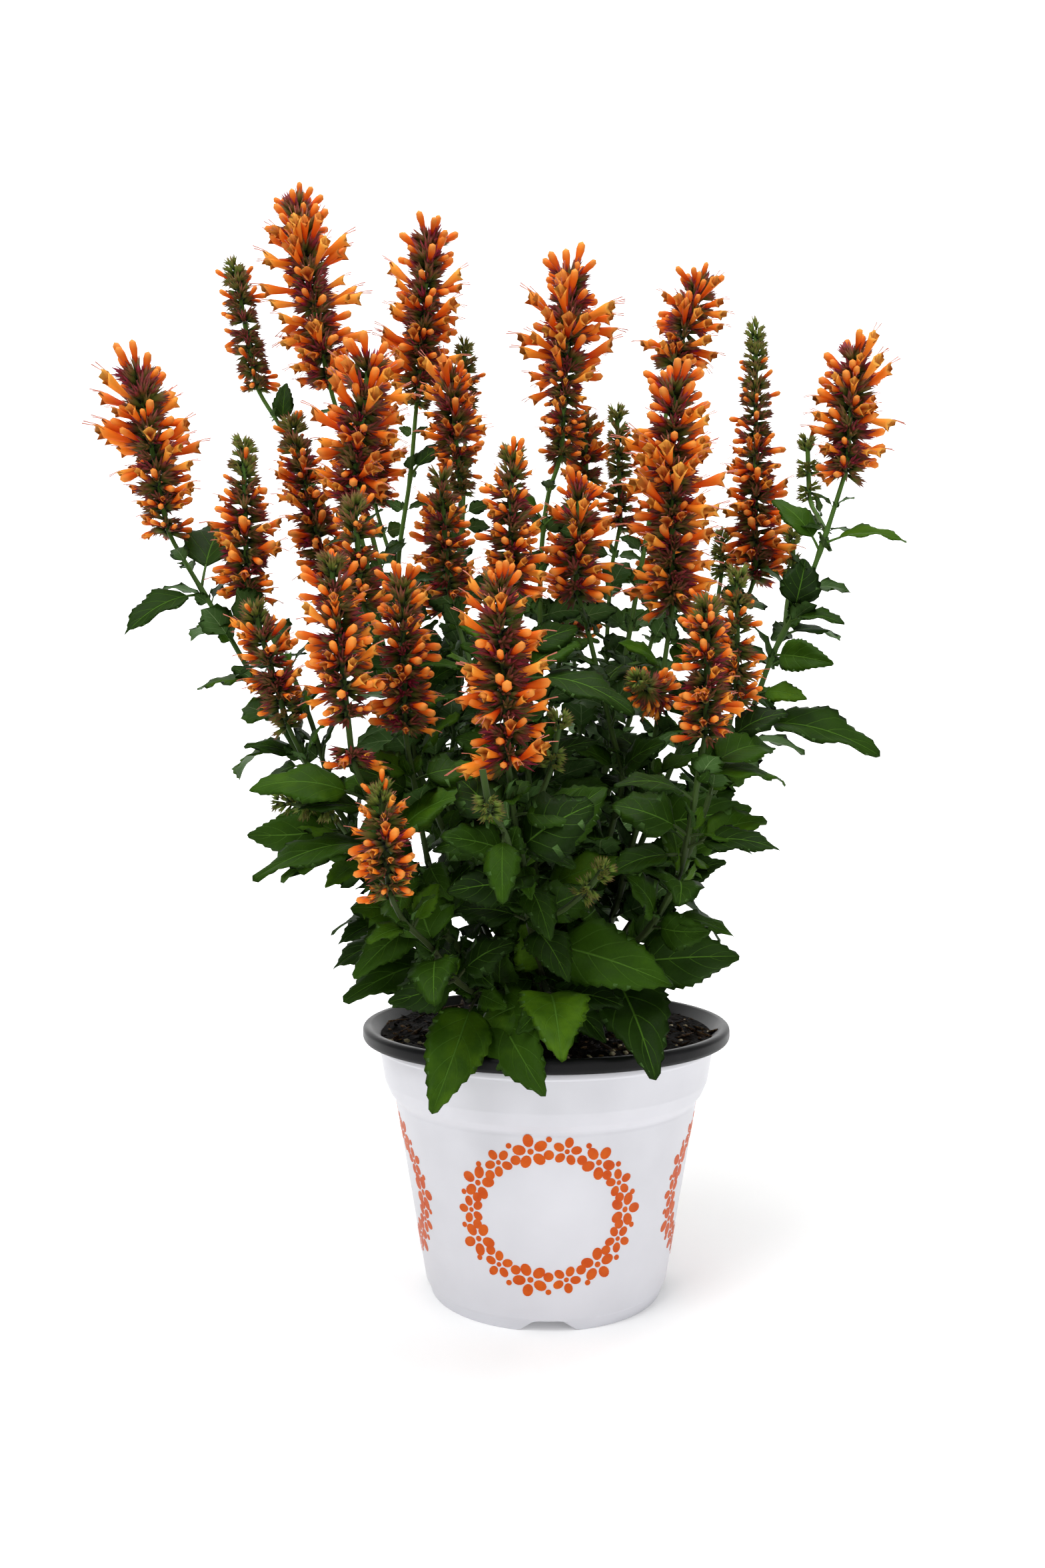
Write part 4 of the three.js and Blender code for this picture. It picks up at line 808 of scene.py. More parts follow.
# Flower spikes: the axis' base and tip, and how far the florets reach from it, base to tip
spikes = {
    "spike_a": ((-213, 424, -20), (-230, 513, -20), (13, 16, 24, 28, 28, 20)),
    "spike_b": ((-163, 504, 60), (-175, 571, 60), (10, 12, 12, 11, 7)),
    "spike_c": ((-123, 509, 40), (-141, 607, 40), (20, 22, 26, 26, 26, 24, 18)),
    "spike_d": ((-72, 497, 78), (-65, 589, 78), (10, 22, 22, 22, 23, 18)),
    "spike_e": ((-109, 440, -25), (-99, 520, -25), (18, 26, 29, 29, 27, 20)),
    "spike_f": ((-48, 446, 42), (-54, 511, 42), (10, 12, 19, 19, 13)),
    "spike_g": ((-45, 496, 108), (-46, 526, 108), (9, 11, 7)),
    "spike_h": ((9, 466, 30), (14, 569, 30), (12, 13, 13, 25, 27, 27, 20)),
    "spike_i": ((73, 517, 80), (87, 562, 80), (18, 22, 22, 16)),
    "spike_j": ((71, 384, -10), (72, 509, -10), (20, 26, 24, 28, 28, 27, 27, 20)),
    "spike_k": ((118, 399, 60), (118, 535, 60), (18, 20, 18, 14, 12, 11, 9, 6)),
    "spike_l": ((169, 457, 10), (174, 526, 10), (16, 20, 22, 22, 17)),
    "spike_m": ((148, 443, 50), (147, 473, 50), (6, 7, 6)),
    "spike_n": ((-168, 391, -30), (-170, 471, -30), (15, 20, 20, 14, 11, 8)),
    "spike_o": ((-146, 316, -70), (-164, 378, -70), (11, 17, 18, 16, 10)),
    "spike_p": ((-124, 402, 20), (-143, 483, 20), (16, 18, 17, 14, 10)),
    "spike_q": ((-109, 295, -115), (-121, 406, -115), (18, 0, 22, 22, 22, 20, 18, 12)),
    "spike_r": ((-79, 314, -86), (-81, 393, -86), (17, 19, 18, 17, 13)),
    "spike_s": ((-55, 391, 0), (-59, 453, 0), (15, 16, 14, 10)),
    "spike_t": ((-20, 395, -40), (-19, 466, -40), (18, 20, 18, 14, 10)),
    "spike_u": ((23, 443, 60), (22, 486, 60), (14, 15, 10)),
    "spike_v": ((17, 389, -10), (19, 445, -10), (20, 22, 20, 14)),
    "spike_w": ((42, 427, 110), (40, 488, 110), (13, 9, 9, 7)),
    "spike_x": ((-21, 295, -130), (-27, 394, -130), (27, 22, 26, 27, 26, 22, 16)),
    "spike_y": ((90, 310, -100), (91, 381, -100), (16, 20, 20, 17, 12)),
    "spike_z": ((-88, 220, -130), (-93, 276, -130), (13, 16, 22, 14, 9)),
    "spike_oa": ((-123, 265, -90), (-148, 270, -98), (6, 7, 5)),
    "spike_lb": ((139, 402, 52), (139, 419, 54), (6, 6, 5)),
    "spike_jb": ((62, 330, -26), (51, 338, -48), (14, 13, 8)),
    "spike_kb": ((99, 400, 80), (99, 420, 82), (6, 7, 5)),
    "spike_q2": ((-103, 383, -62), (-108, 438, -62), (15, 16, 15, 11)),
    "spike_xa": ((-32, 267, -165), (-36, 290, -168), (7, 8, 5)),
    "spike_xb": ((4, 293, -100), (8, 315, -102), (6, 7, 5)),
    "spike_xc": ((23, 220, -110), (33, 232, -118), (5, 6, 5)),
    "spike_yb": ((107, 331, -60), (108, 397, -60), (14, 14, 13, 11, 8)),
    "spike_back_a": ((-96, 440, 140), (-99, 500, 142), (14, 20, 19, 12)),
    "spike_back_b": ((-57, 380, 126), (-61, 440, 130), (16, 19, 16, 10)),
    "spike_back_c": ((68, 396, 138), (70, 470, 140), (15, 20, 20, 12)),
    "spike_back_d": ((15, 368, 132), (15, 432, 136), (16, 19, 17, 10)),
}


# Leafy stems: foot in the soil or height where a branch starts, the spike, the route to it, leaves, pairs
# of leaves and branches. A leaf is (height where it leaves its shoot, its tip, its breadth as seen from
# the front), and a pair is (height, compass angle of the first leaf, length of both).
stems = {
    "stem_a": {
        "foot": (-22, 0), "spike": "spike_a",
        "route": [
            (-44, 172, -8), (-75, 200, -14), (-112, 258, -22), (-146, 308, -26), (-181, 368, -24),
            (-209, 415, -20),
        ],
        "leaves": [
            (386, (-237, 363, -48), 13), (389, (-178, 425, 12), 16), (203, (-117, 189, -34), 10),
            (300, (-172, 282, 14), 14),
        ],
        "pairs": [(228, 80, 44)],
        "branches": [
            {
                "start": 268, "spike": "spike_n",
                "route": [(-131, 312, -38), (-143, 342, -38), (-151, 357, -35), (-161, 380, -31)],
                "leaves": [(361, (-199, 360, 6), 9)],
            },
        ],
    },
    "stem_b": {
        "foot": (-19, 9), "spike": "spike_c",
        "route": [(-32, 180, 18), (-52, 260, 30), (-80, 350, 38), (-103, 440, 42), (-120, 498, 40)],
        "pairs": [(205, 150, 52), (245, 60, 48), (372, 100, 38)],
        "branches": [
            {
                "start": 264, "spike": "spike_b",
                "route": [
                    (-72, 300, 44), (-98, 370, 56), (-122, 430, 60), (-147, 477, 60), (-159, 496, 60),
                ],
                "leaves": [(478, (-146, 505, 76), 7)],
                "pairs": [(330, 70, 38)],
            },
            {
                "start": 302, "spike": "spike_p",
                "route": [(-88, 340, 28), (-110, 375, 22), (-122, 396, 20)],
            },
        ],
    },
    "stem_d": {
        "foot": (-11, 18), "spike": "spike_d",
        "route": [
            (-25, 190, 38), (-52, 275, 56), (-76, 355, 68), (-83, 398, 74), (-76, 454, 77), (-73, 489, 78),
        ],
        "leaves": [(452, (-52, 470, 86), 8)],
        "pairs": [(212, 92, 54), (250, 20, 50), (330, 140, 44)],
        "branches": [
            {
                "start": 284, "spike": "spike_f",
                "route": [(-49, 330, 52), (-47, 400, 44), (-48, 438, 42)],
                "pairs": [(352, 75, 40)],
            },
            {
                "start": 306, "spike": "spike_g",
                "route": [(-52, 350, 82), (-47, 421, 100), (-45, 488, 108)],
            },
        ],
    },
    "stem_e": {
        "foot": (-11, -3), "spike": "spike_e",
        "route": [
            (-28, 185, -12), (-56, 250, -19), (-78, 305, -19), (-92, 360, -15), (-103, 415, -18),
            (-108, 432, -24),
        ],
        "pairs": [(212, 100, 50), (268, 30, 48), (340, 120, 40)],
        "branches": [
            {
                "start": 290, "spike": "spike_q2",
                "route": [(-82, 330, -40), (-97, 366, -57), (-102, 378, -61)],
            },
        ],
    },
    "stem_h": {
        "foot": (2, 10), "spike": "spike_h",
        "route": [(2, 200, 18), (-2, 290, 26), (-3, 398, 30), (1, 440, 30), (7, 459, 30)],
        "leaves": [(424, (30, 436, 16), 8), (426, (-28, 448, 30), 7)],
        "pairs": [(222, 95, 50), (262, 175, 48), (345, 20, 42)],
        "branches": [
            {
                "start": 300, "spike": "spike_u",
                "route": [(8, 350, 46), (18, 405, 57), (22, 436, 60)],
            },
        ],
    },
    "stem_i": {
        "foot": (13, 17), "spike": "spike_i",
        "route": [(19, 190, 34), (32, 280, 54), (48, 370, 68), (62, 450, 76), (71, 510, 80)],
        "leaves": [(452, (80, 472, 70), 7), (455, (46, 476, 84), 6)],
        "pairs": [(215, 136, 54), (255, 40, 50), (330, 70, 44)],
        "branches": [
            {
                "start": 288, "spike": "spike_w",
                "route": [(34, 350, 86), (37, 400, 104), (41, 421, 110)],
            },
        ],
    },
    "stem_j": {
        "foot": (11, 3), "spike": "spike_j",
        "route": [
            (38, 207, 0), (46, 236, -3), (56, 275, -7), (62, 310, -9), (67, 350, -10), (71, 377, -10),
        ],
        "leaves": [(256, (116, 266, -40), 28), (226, (84, 215, -24), 18)],
        "pairs": [(288, 110, 44), (342, 35, 38)],
        "branches": [
            {
                "start": 320, "spike": "spike_jb",
                "route": [(63, 327, -20)],
            },
        ],
    },
    "stem_k": {
        "foot": (19, 10), "spike": "spike_k",
        "route": [(36, 200, 24), (63, 270, 38), (88, 330, 50), (108, 372, 57), (116, 391, 60)],
        "pairs": [(225, 130, 54), (262, 45, 50), (312, 100, 42)],
        "branches": [
            {
                "start": 334, "spike": "spike_kb",
                "route": [(94, 366, 70), (98, 392, 79)],
            },
        ],
    },
    "stem_l": {
        "foot": (22, 2), "spike": "spike_l",
        "route": [
            (42, 192, 5), (70, 232, 8), (109, 304, 12), (128, 353, 12), (145, 387, 12), (155, 413, 11),
            (167, 450, 10),
        ],
        "leaves": [
            (414, (203, 415, -2), 9), (410, (127, 439, 28), 11), (370, (168, 369, -14), 9),
            (362, (165, 360, 40), 8), (352, (162, 347, -22), 18), (374, (146, 406, 44), 20),
            (330, (147, 327, -12), 12), (312, (188, 295, -16), 19),
        ],
        "pairs": [(218, 160, 50), (262, 70, 48)],
        "branches": [
            {
                "start": 421, "spike": "spike_m",
                "route": [(153, 430, 34), (149, 437, 46)],
            },
            {
                "start": 366, "spike": "spike_lb",
                "route": [(136, 383, 34), (139, 396, 49)],
            },
        ],
    },
    "stem_o": {
        "foot": (-20, -8), "spike": "spike_o",
        "route": [(-38, 168, -22), (-78, 204, -46), (-116, 256, -60), (-138, 298, -68), (-144, 310, -70)],
        "leaves": [
            (254, (-168, 251, -76), 22), (240, (-159, 229, -48), 9), (236, (-124, 221, -84), 11),
            (192, (-120, 175, -64), 9), (178, (-114, 157, -76), 17),
        ],
        "branches": [
            {
                "start": 248, "spike": "spike_oa",
                "route": [(-113, 254, -74), (-120, 262, -86)],
            },
        ],
    },
    "stem_q": {
        "foot": (-15, -15), "spike": "spike_q",
        "route": [(-34, 170, -40), (-60, 200, -66), (-84, 238, -88), (-99, 270, -102), (-107, 289, -113)],
        "leaves": [(270, (-167, 276, -126), 15), (243, (-165, 225, -134), 9), (205, (-108, 170, -98), 15)],
        "pairs": [(262, 75, 40)],
        "branches": [
            {
                "start": 194, "spike": "spike_r",
                "route": [(-66, 235, -80), (-74, 280, -86), (-79, 308, -88)],
                "leaves": [(236, (-52, 214, -104), 13)],
                "pairs": [(272, 20, 36)],
            },
        ],
    },
    "stem_t": {
        "foot": (-2, -10), "spike": "spike_t",
        "route": [(-4, 190, -20), (-8, 260, -32), (-14, 330, -38), (-19, 388, -40)],
        "leaves": [(338, (50, 318, -62), 13)],
        "pairs": [(216, 15, 50), (296, 100, 44), (352, 20, 36)],
        "branches": [
            {
                "start": 262, "spike": "spike_s",
                "route": [(-28, 310, -24), (-45, 355, -8), (-54, 385, -1)],
                "pairs": [(332, 60, 36)],
            },
        ],
    },
    "stem_v": {
        "foot": (9, -6), "spike": "spike_v",
        "route": [
            (21, 200, -9), (37, 255, -12), (43, 284, -13), (38, 305, -13), (25, 360, -10), (19, 383, -10),
        ],
        "leaves": [(200, (43, 184, -36), 12)],
        "pairs": [(232, 90, 48), (284, 175, 42), (332, 60, 36)],
    },
    "stem_x": {
        "foot": (2, -24), "spike": "spike_x",
        "route": [
            (-2, 168, -46), (-8, 196, -72), (-11, 218, -90), (-14, 240, -106), (-18, 262, -118),
            (-21, 289, -129),
        ],
        "leaves": [
            (225, (-56, 219, -126), 24), (234, (34, 278, -78), 22), (243, (17, 232, -130), 9),
            (236, (-8, 214, -134), 12), (190, (72, 166, -104), 28), (200, (13, 168, -112), 14),
            (262, (22, 258, -146), 12),
        ],
        "branches": [
            {
                "start": 226, "spike": "spike_xa",
                "route": [(-18, 236, -114), (-23, 252, -140), (-31, 265, -161)],
            },
            {
                "start": 246, "spike": "spike_xb",
                "route": [(-7, 264, -102), (3, 288, -100)],
            },
            {
                "start": 206, "spike": "spike_xc",
                "route": [(6, 207, -94), (20, 217, -108)],
            },
            {
                "start": 172,
                "route": [(0, 166, -64), (2, 159, -80)],
                "leaves": [
                    (160, (-17, 139, -104), 15), (162, (9, 123, -112), 13), (164, (34, 134, -104), 15),
                    (166, (26, 162, -96), 10),
                ],
            },
        ],
    },
    "stem_y": {
        "foot": (14, -16), "spike": "spike_y",
        "route": [
            (30, 172, -36), (56, 196, -62), (68, 214, -76), (76, 233, -85), (86, 285, -97), (89, 304, -100),
        ],
        "leaves": [
            (270, (38, 278, -118), 9), (240, (32, 225, -92), 10), (286, (128, 299, -108), 16),
            (282, (135, 279, -72), 8), (244, (132, 242, -102), 10), (200, (93, 197, -82), 20),
            (180, (109, 183, -54), 30), (176, (62, 113, -100), 26),
        ],
        "branches": [
            {
                "start": 216, "spike": "spike_yb",
                "route": [(86, 255, -72), (100, 300, -64), (106, 325, -60)],
            },
        ],
    },
    "stem_z": {
        "foot": (-8, -21), "spike": "spike_z",
        "route": [
            (-20, 158, -42), (-36, 161, -62), (-50, 169, -84), (-64, 187, -108), (-80, 203, -122),
            (-86, 214, -129),
        ],
        "leaves": [
            (170, (-89, 157, -122), 22), (162, (-64, 94, -112), 24), (160, (0, 104, -120), 30),
            (198, (-60, 224, -142), 10),
        ],
    },
    "stem_back_a": {
        "foot": (-3, 23), "spike": "spike_back_a",
        "route": [(-14, 190, 58), (-40, 270, 92), (-68, 350, 118), (-88, 410, 132), (-95, 433, 139)],
        "pairs": [(215, 60, 52), (256, 128, 50), (325, 60, 44)],
        "branches": [
            {
                "start": 278, "spike": "spike_back_b",
                "route": [(-48, 330, 112), (-56, 373, 124)],
            },
        ],
    },
    "stem_back_c": {
        "foot": (6, 22), "spike": "spike_back_c",
        "route": [(16, 190, 58), (34, 270, 92), (54, 340, 118), (67, 389, 137)],
        "pairs": [(212, 120, 52), (262, 40, 50), (315, 110, 44)],
        "branches": [
            {
                "start": 240, "spike": "spike_back_d",
                "route": [(20, 300, 106), (15, 361, 131)],
            },
        ],
    },
}


def scatter(seed):  # a repeatable draw between 0 and 1, from the far digits of a sine
    wave = math.sin(seed * 12.9898) * 43758.5453
    return wave - math.floor(wave)


def blended(low, high, share):
    return low + (high - low) * share


def along(values, share):  # the value at a share of the way along an evenly spaced list
    spot = min(max(share, 0), 1) * (len(values) - 1)
    index = min(int(spot), len(values) - 2)
    return blended(values[index], values[index + 1], spot - index)


class Route:  # a shoot's way through space, measured along its length
    def __init__(self, places, points):
        self.places = places
        self.points = points
        self.marks = [0.0]
        for before, after in zip(points, points[1:]):
            self.marks.append(self.marks[-1] + (after - before).length)
        self.length = self.marks[-1]

    def reach(self, height):  # how far along the route a height of the layout lies
        for i in range(1, len(self.places)):
            low, high = self.places[i - 1][1], self.places[i][1]
            if (low - height) * (high - height) <= 0:
                return blended(self.marks[i - 1], self.marks[i], (height - low) / (high - low))

    def segment(self, mark):  # the run that a mark lies on, the share of it passed, and its length
        last = len(self.marks) - 1
        i = next((i for i in range(1, last) if mark <= self.marks[i] + 1e-6), last)
        span = self.marks[i] - self.marks[i - 1]
        return i, (mark - self.marks[i - 1]) / span, span

    def at(self, mark):  # on the straight runs, where the solid stem is
        i, t, _ = self.segment(mark)
        return self.points[i - 1].lerp(self.points[i], t)

    def slope(self, i):
        low, high = max(i - 1, 0), min(i + 1, len(self.points) - 1)
        return (self.points[high] - self.points[low]) / (self.marks[high] - self.marks[low])

    def smooth(self, mark):  # on the curve through the same points, which the finished stem follows
        i, t, span = self.segment(mark)
        a, b = self.points[i - 1], self.points[i]
        return (
            a * (2 * t ** 3 - 3 * t ** 2 + 1) + self.slope(i - 1) * span * (t ** 3 - 2 * t ** 2 + t)
            + b * (3 * t ** 2 - 2 * t ** 3) + self.slope(i) * span * (t ** 3 - t ** 2)
        )

    def direction(self, mark):
        low, high = max(mark - 1, 0), min(mark + 1, self.length)
        return (self.smooth(high) - self.smooth(low)).normalized()


# A stem starts in its hole in the soil, comes up straight, and ends a gap short of its spike
crownSeat = {"holeDepth": 11, "crownRise": 3, "seatGap": 0.3}


def spikeAxis(name):
    foot, head, reach = spikes[name]
    base, tip = place(foot), place(head)
    return {
        "foot": foot, "base": base, "tip": tip, "length": (tip - base).length,
        "direction": (tip - base).normalized(), "spread": spreadAt(foot[2]), "reach": reach,
    }


def layOut(shoot, parent=None):  # works out the route of a shoot and of its branches
    places = list(shoot["route"])
    points = [place(spot) for spot in shoot["route"]]
    if parent:
        points.insert(0, parent.at(parent.reach(shoot["start"])))
        places.insert(0, (0, shoot["start"], 0))
    else:
        x, y = shoot["foot"]
        hole = bed["top"] - crownSeat["holeDepth"] + crownSeat["seatGap"]
        for height in (bed["top"] + crownSeat["crownRise"], hole):
            points.insert(0, Vector((x, y, height)))
            places.insert(0, (x, view["height"] + (height - view["height"]) / spreadAt(y), y))
    if "spike" in shoot:
        axis = spikeAxis(shoot["spike"])
        points.append(axis["base"] - axis["direction"] * crownSeat["seatGap"])
        places.append(axis["foot"])
    shoot["track"] = Route(places, points)
    for branch in shoot.get("branches", []):
        layOut(branch, shoot["track"])


def shootsOf(shoot):
    return [shoot] + [inner for branch in shoot.get("branches", []) for inner in shootsOf(branch)]


def leafNormal(line, facing):  # the way a blade faces: between straight up and straight to the front
    heading = line.normalized()
    square = [way - heading * way.dot(heading) for way in (up, front)]
    return (square[0] * math.cos(facing) + square[1] * math.sin(facing)).normalized()


def growLeaf(build, base, tip, normal, breadth, seed, teeth, columns):  # petiole in slot 0, blade in slot 1
    form = leafForm
    breadth = breadth * form["fuller"]
    line = tip - base
    length = line.length
    control = (base + tip) / 2 + normal * (2 * form["arch"] * length)
    phase, sway, tint = scatter(seed + 0.1), scatter(seed + 0.2) - 0.5, scatter(seed + 0.3)
    fold = math.radians(form["fold"] * (0.5 + scatter(seed + 0.4)))

    def midrib(t):
        centre = base * (1 - t) ** 2 + control * (2 * t * (1 - t)) + tip * t ** 2
        forward = ((control - base) * (2 - 2 * t) + (tip - control) * (2 * t)).normalized()
        above = (normal - forward * normal.dot(forward)).normalized()
        return centre, forward, above, above.cross(forward)

    stalk = []
    wide, taper = form["stalkTaper"]
    for share in form["stalkShares"]:
        centre, forward, above, side = midrib(share)
        radius = form["petioleRadius"] * (wide - taper * share)
        stalk.append([
            build.add(centre + above * radius * math.sin(a) + side * radius * math.cos(a), tint=tint)
            for a in (fullTurn * k / form["stalkSides"] for k in range(form["stalkSides"]))
        ])
    build.tube([ring[::-1] for ring in stalk])

    rows = []
    for row in range(2 * teeth):
        share = row / (2 * teeth)
        centre, forward, above, side = midrib(form["petiole"] + (1 - form["petiole"]) * share)
        centre = centre + side * (form["sway"] * length * sway * math.sin(math.pi * share))
        half = 0.5 * breadth * math.sin(math.pi * share ** form["belly"]) ** form["blunt"]
        half = max(half, form["petioleRadius"])
        flare = form["toothOut"] if row % 2 else form["toothIn"]
        thick = above * (form["thickness"] / 2)
        tops, bottoms = [], []
        for column in range(-columns, columns + 1):
            c = abs(column) / columns
            sign = 1 if column > 0 else -1
            isEdge = abs(column) == columns
            out = half * c * (flare if isEdge and row else 1)
            turn = fullTurn * (form["ruffleTurns"] * share + phase + 0.25 * sign)
            ruffle = form["ruffle"] * breadth * math.sin(turn) * c * c * min(1, form["ruffleRise"] * share)
            wave = (share - form["veinSlope"] * c) * form["veins"]
            swell = form["puff"] * abs(math.sin(math.pi * (wave - 0.5)))
            puff = swell * c * (1 - c) * 4 * min(1, form["puffRise"] * share)
            lift = out * math.sin(fold) - form["droop"] * half * c * c + ruffle + puff
            lean = form["lean"] * length / (2 * teeth) if row % 2 and isEdge else 0
            point = centre + side * (sign * out * math.cos(fold)) + above * lift + forward * lean
            if isEdge:
                tops.append(build.add(point, along=share, across=c, tint=tint))
                bottoms.append(tops[-1])
            else:
                tops.append(build.add(point + thick, along=share, across=c, tint=tint))
                bottoms.append(build.add(point - thick, along=share, across=c, under=1.0, tint=tint))
        rows.append((tops, bottoms))
    point = build.add(tip, along=1.0, tint=tint)
    for (tops, bottoms), (nextTops, nextBottoms) in zip(rows, rows[1:]):
        for i in range(2 * columns):
            build.face(tops[i + 1], tops[i], nextTops[i], nextTops[i + 1], slot=1)
            build.face(bottoms[i], bottoms[i + 1], nextBottoms[i + 1], nextBottoms[i], slot=1)
    (tops, bottoms), (lastTops, lastBottoms) = rows[0], rows[-1]
    for i in range(2 * columns):
        build.face(lastTops[i + 1], lastTops[i], point, slot=1)
        build.face(lastBottoms[i], lastBottoms[i + 1], point, slot=1)
        build.face(*dict.fromkeys([tops[i], tops[i + 1], bottoms[i + 1], bottoms[i]]), slot=1)


# Where the solid stems' leaves may have grown: each tried these places in turn and took the first free one
leafTries = {
    "slides": [0, -8, 8, -16, 16, -24, 24, -34, 34, -44, 44], "lifts": [24, 44, 4, 62],
    "turns": [0, 18, -18, 36, -36, 54, -54], "facing": (0.4, 1.2), "length": (0.9, 1.1), "match": 0.05,
}
nodeCorners = {name: [v.co / mm for v in frame["nodes"][name].data.vertices] for name in stems}


def tipShapes(spot, seen, base):  # the tip, facing and breadth at each try of a leaf set by its tip
    across, height, depth = spot
    for slide in leafTries["slides"]:
        tip = place((across, height, depth + slide))
        reach = (tip - base).length * (1 - leafForm["petiole"])
        breadth = max(seen * spreadAt(depth), reach * leafForm["broadShare"])
        yield tip, math.asin(min(seen / breadth, 1)), breadth


def pairShapes(base, heading, length, seed):  # the same for a leaf of a pair
    facing = blended(*leafTries["facing"], scatter(seed))
    grown = length * blended(*leafTries["length"], scatter(seed + 0.5))
    for climb in map(math.radians, leafTries["lifts"]):
        for turn in leafTries["turns"]:
            way = polar(math.cos(climb), math.radians(heading + turn), math.sin(climb))
            yield base + way * grown, facing, grown * (1 - leafForm["petiole"]) * leafForm["pairBroadShare"]


def settled(node, shapes):  # the one whose tip the solid stem has, or None
    for tip, facing, breadth in shapes:
        if any((corner - tip).length < leafTries["match"] for corner in nodeCorners[node]):
            return tip, facing, breadth
    return None


def growLeaves(build, node, shoot):
    track = shoot["track"]
    wanted = [
        (start, tipShapes(tip, seen, track.at(track.reach(start))))
        for start, tip, seen in shoot.get("leaves", [])
    ]
    for start, compass, length in shoot.get("pairs", []):
        for heading in (compass, compass + 180):
            shapes = pairShapes(track.at(track.reach(start)), heading, length, start + heading)
            wanted.append((start, shapes))
    grown = 0
    for start, shapes in wanted:
        shape = settled(node, shapes)
        if shape:
            tip, facing, breadth = shape
            base = track.smooth(track.reach(start))
            isLarge = (tip - base).length > leafForm["largeLength"]
            normal = leafNormal(tip - base, facing)
            growLeaf(
                build, base, tip, normal, breadth, tip.x + 3 * tip.z,
                leafForm["teeth"][isLarge], leafForm["columns"][isLarge],
            )
            grown += 1
    return grown


# Stalks: four-sided with rounded corners, a little swollen where leaves or branches leave
stalkForm = {
    "main": (2.1, 1.3), "branch": (1.5, 1.3), "step": 5.0, "corner": 14, "hollow": 0.78, "swell": 0.25,
    "reach": 3.0, "join": 25, "hint": (0.3, 1, 0.1),
}


def growStalk(build, shoot, parent=None):
    track = shoot["track"]
    radii = stalkForm["branch"] if parent else stalkForm["main"]
    starts = [spec[0] for key in ("leaves", "pairs") for spec in shoot.get(key, [])]
    starts += [branch["start"] for branch in shoot.get("branches", [])]
    knots = [track.reach(start) for start in starts]
    steps = max(round(track.length / stalkForm["step"]), 4)
    marks = sorted({track.length * k / steps for k in range(steps + 1)} | set(knots))
    across = track.direction(0).cross(Vector(stalkForm["hint"])).normalized()
    profile = ((-stalkForm["corner"], 1), (stalkForm["corner"], 1), (45, stalkForm["hollow"]))
    rings = []
    for mark in marks:
        centre, forward = track.smooth(mark), track.direction(mark)
        if parent:
            shift = parent.smooth(parent.reach(shoot["start"])) - track.smooth(0)
            centre += shift * max(0, 1 - mark / stalkForm["join"])
        across = (across - forward * across.dot(forward)).normalized()
        back = forward.cross(across)
        swell = sum(math.exp(-((mark - knot) / stalkForm["reach"]) ** 2) for knot in knots)
        radius = blended(*radii, mark / track.length) * (1 + stalkForm["swell"] * min(swell, 1))
        ring = []
        for side in range(4):
            for turn, scale in profile:
                a = math.radians(90 * side + turn)
                way = across * math.cos(a) + back * math.sin(a)
                ring.append(build.add(centre + way * (radius * scale)))
        rings.append(ring)
    build.tube(rings)
    for branch in shoot.get("branches", []):
        growStalk(build, branch, track)


# Young foliage: opposite pairs up every shoot, each turned a quarter from the pair below, with small
# leaves in the axils. "sizes" says how long a leaf may be at each height.
foliage = {
    "sizes": [(140, 34), (200, 44), (260, 44), (320, 38), (380, 28), (440, 16), (520, 9)], "smallest": 5.0,
    "pitch": 24, "lowest": 143, "clear": 2, "spikeShare": 0.4, "perGap": 1.6, "sample": 6,
    "patterns": 5, "patternLength": 40, "patternBreadth": 20, "patternGrades": (0.8, 0.12),
    "patternSeeds": (40, 7.3), "patternTeeth": 5, "patternColumns": 2, "axilShare": 0.42,
    "seed": (31, 5), "seedStep": 10.0,
    "jitter": (-0.35, 0.35), "facing": (0.35, 1.25), "grade": (0.75, 1.1), "tint": (0.0, 1.0),
    "pairs": {"lift": (-5, 50), "turn": 0.0, "seed": 0},
    "axils": {"lift": (40, 75), "turn": 0.8, "seed": 100},
}


def leafPatterns():  # a few blades to pick from, growing along +Z with the upper face to +Y
    shelf = bpy.data.collections.new("leafPatterns")
    tip = Vector((0, 0, foliage["patternLength"]))
    least, step = foliage["patternGrades"]
    first, stride = foliage["patternSeeds"]
    for index in range(foliage["patterns"]):
        build = Build()
        breadth = foliage["patternBreadth"] * (least + step * index)
        growLeaf(
            build, Vector((0, 0, 0)), tip, Vector((0, 1, 0)), breadth, first + stride * index,
            foliage["patternTeeth"], foliage["patternColumns"],
        )
        pattern = build.finish(f"leafPattern{index}", [skin, blade], linked=False, labels=shapeValues)
        shelf.objects.link(pattern)
    return shelf


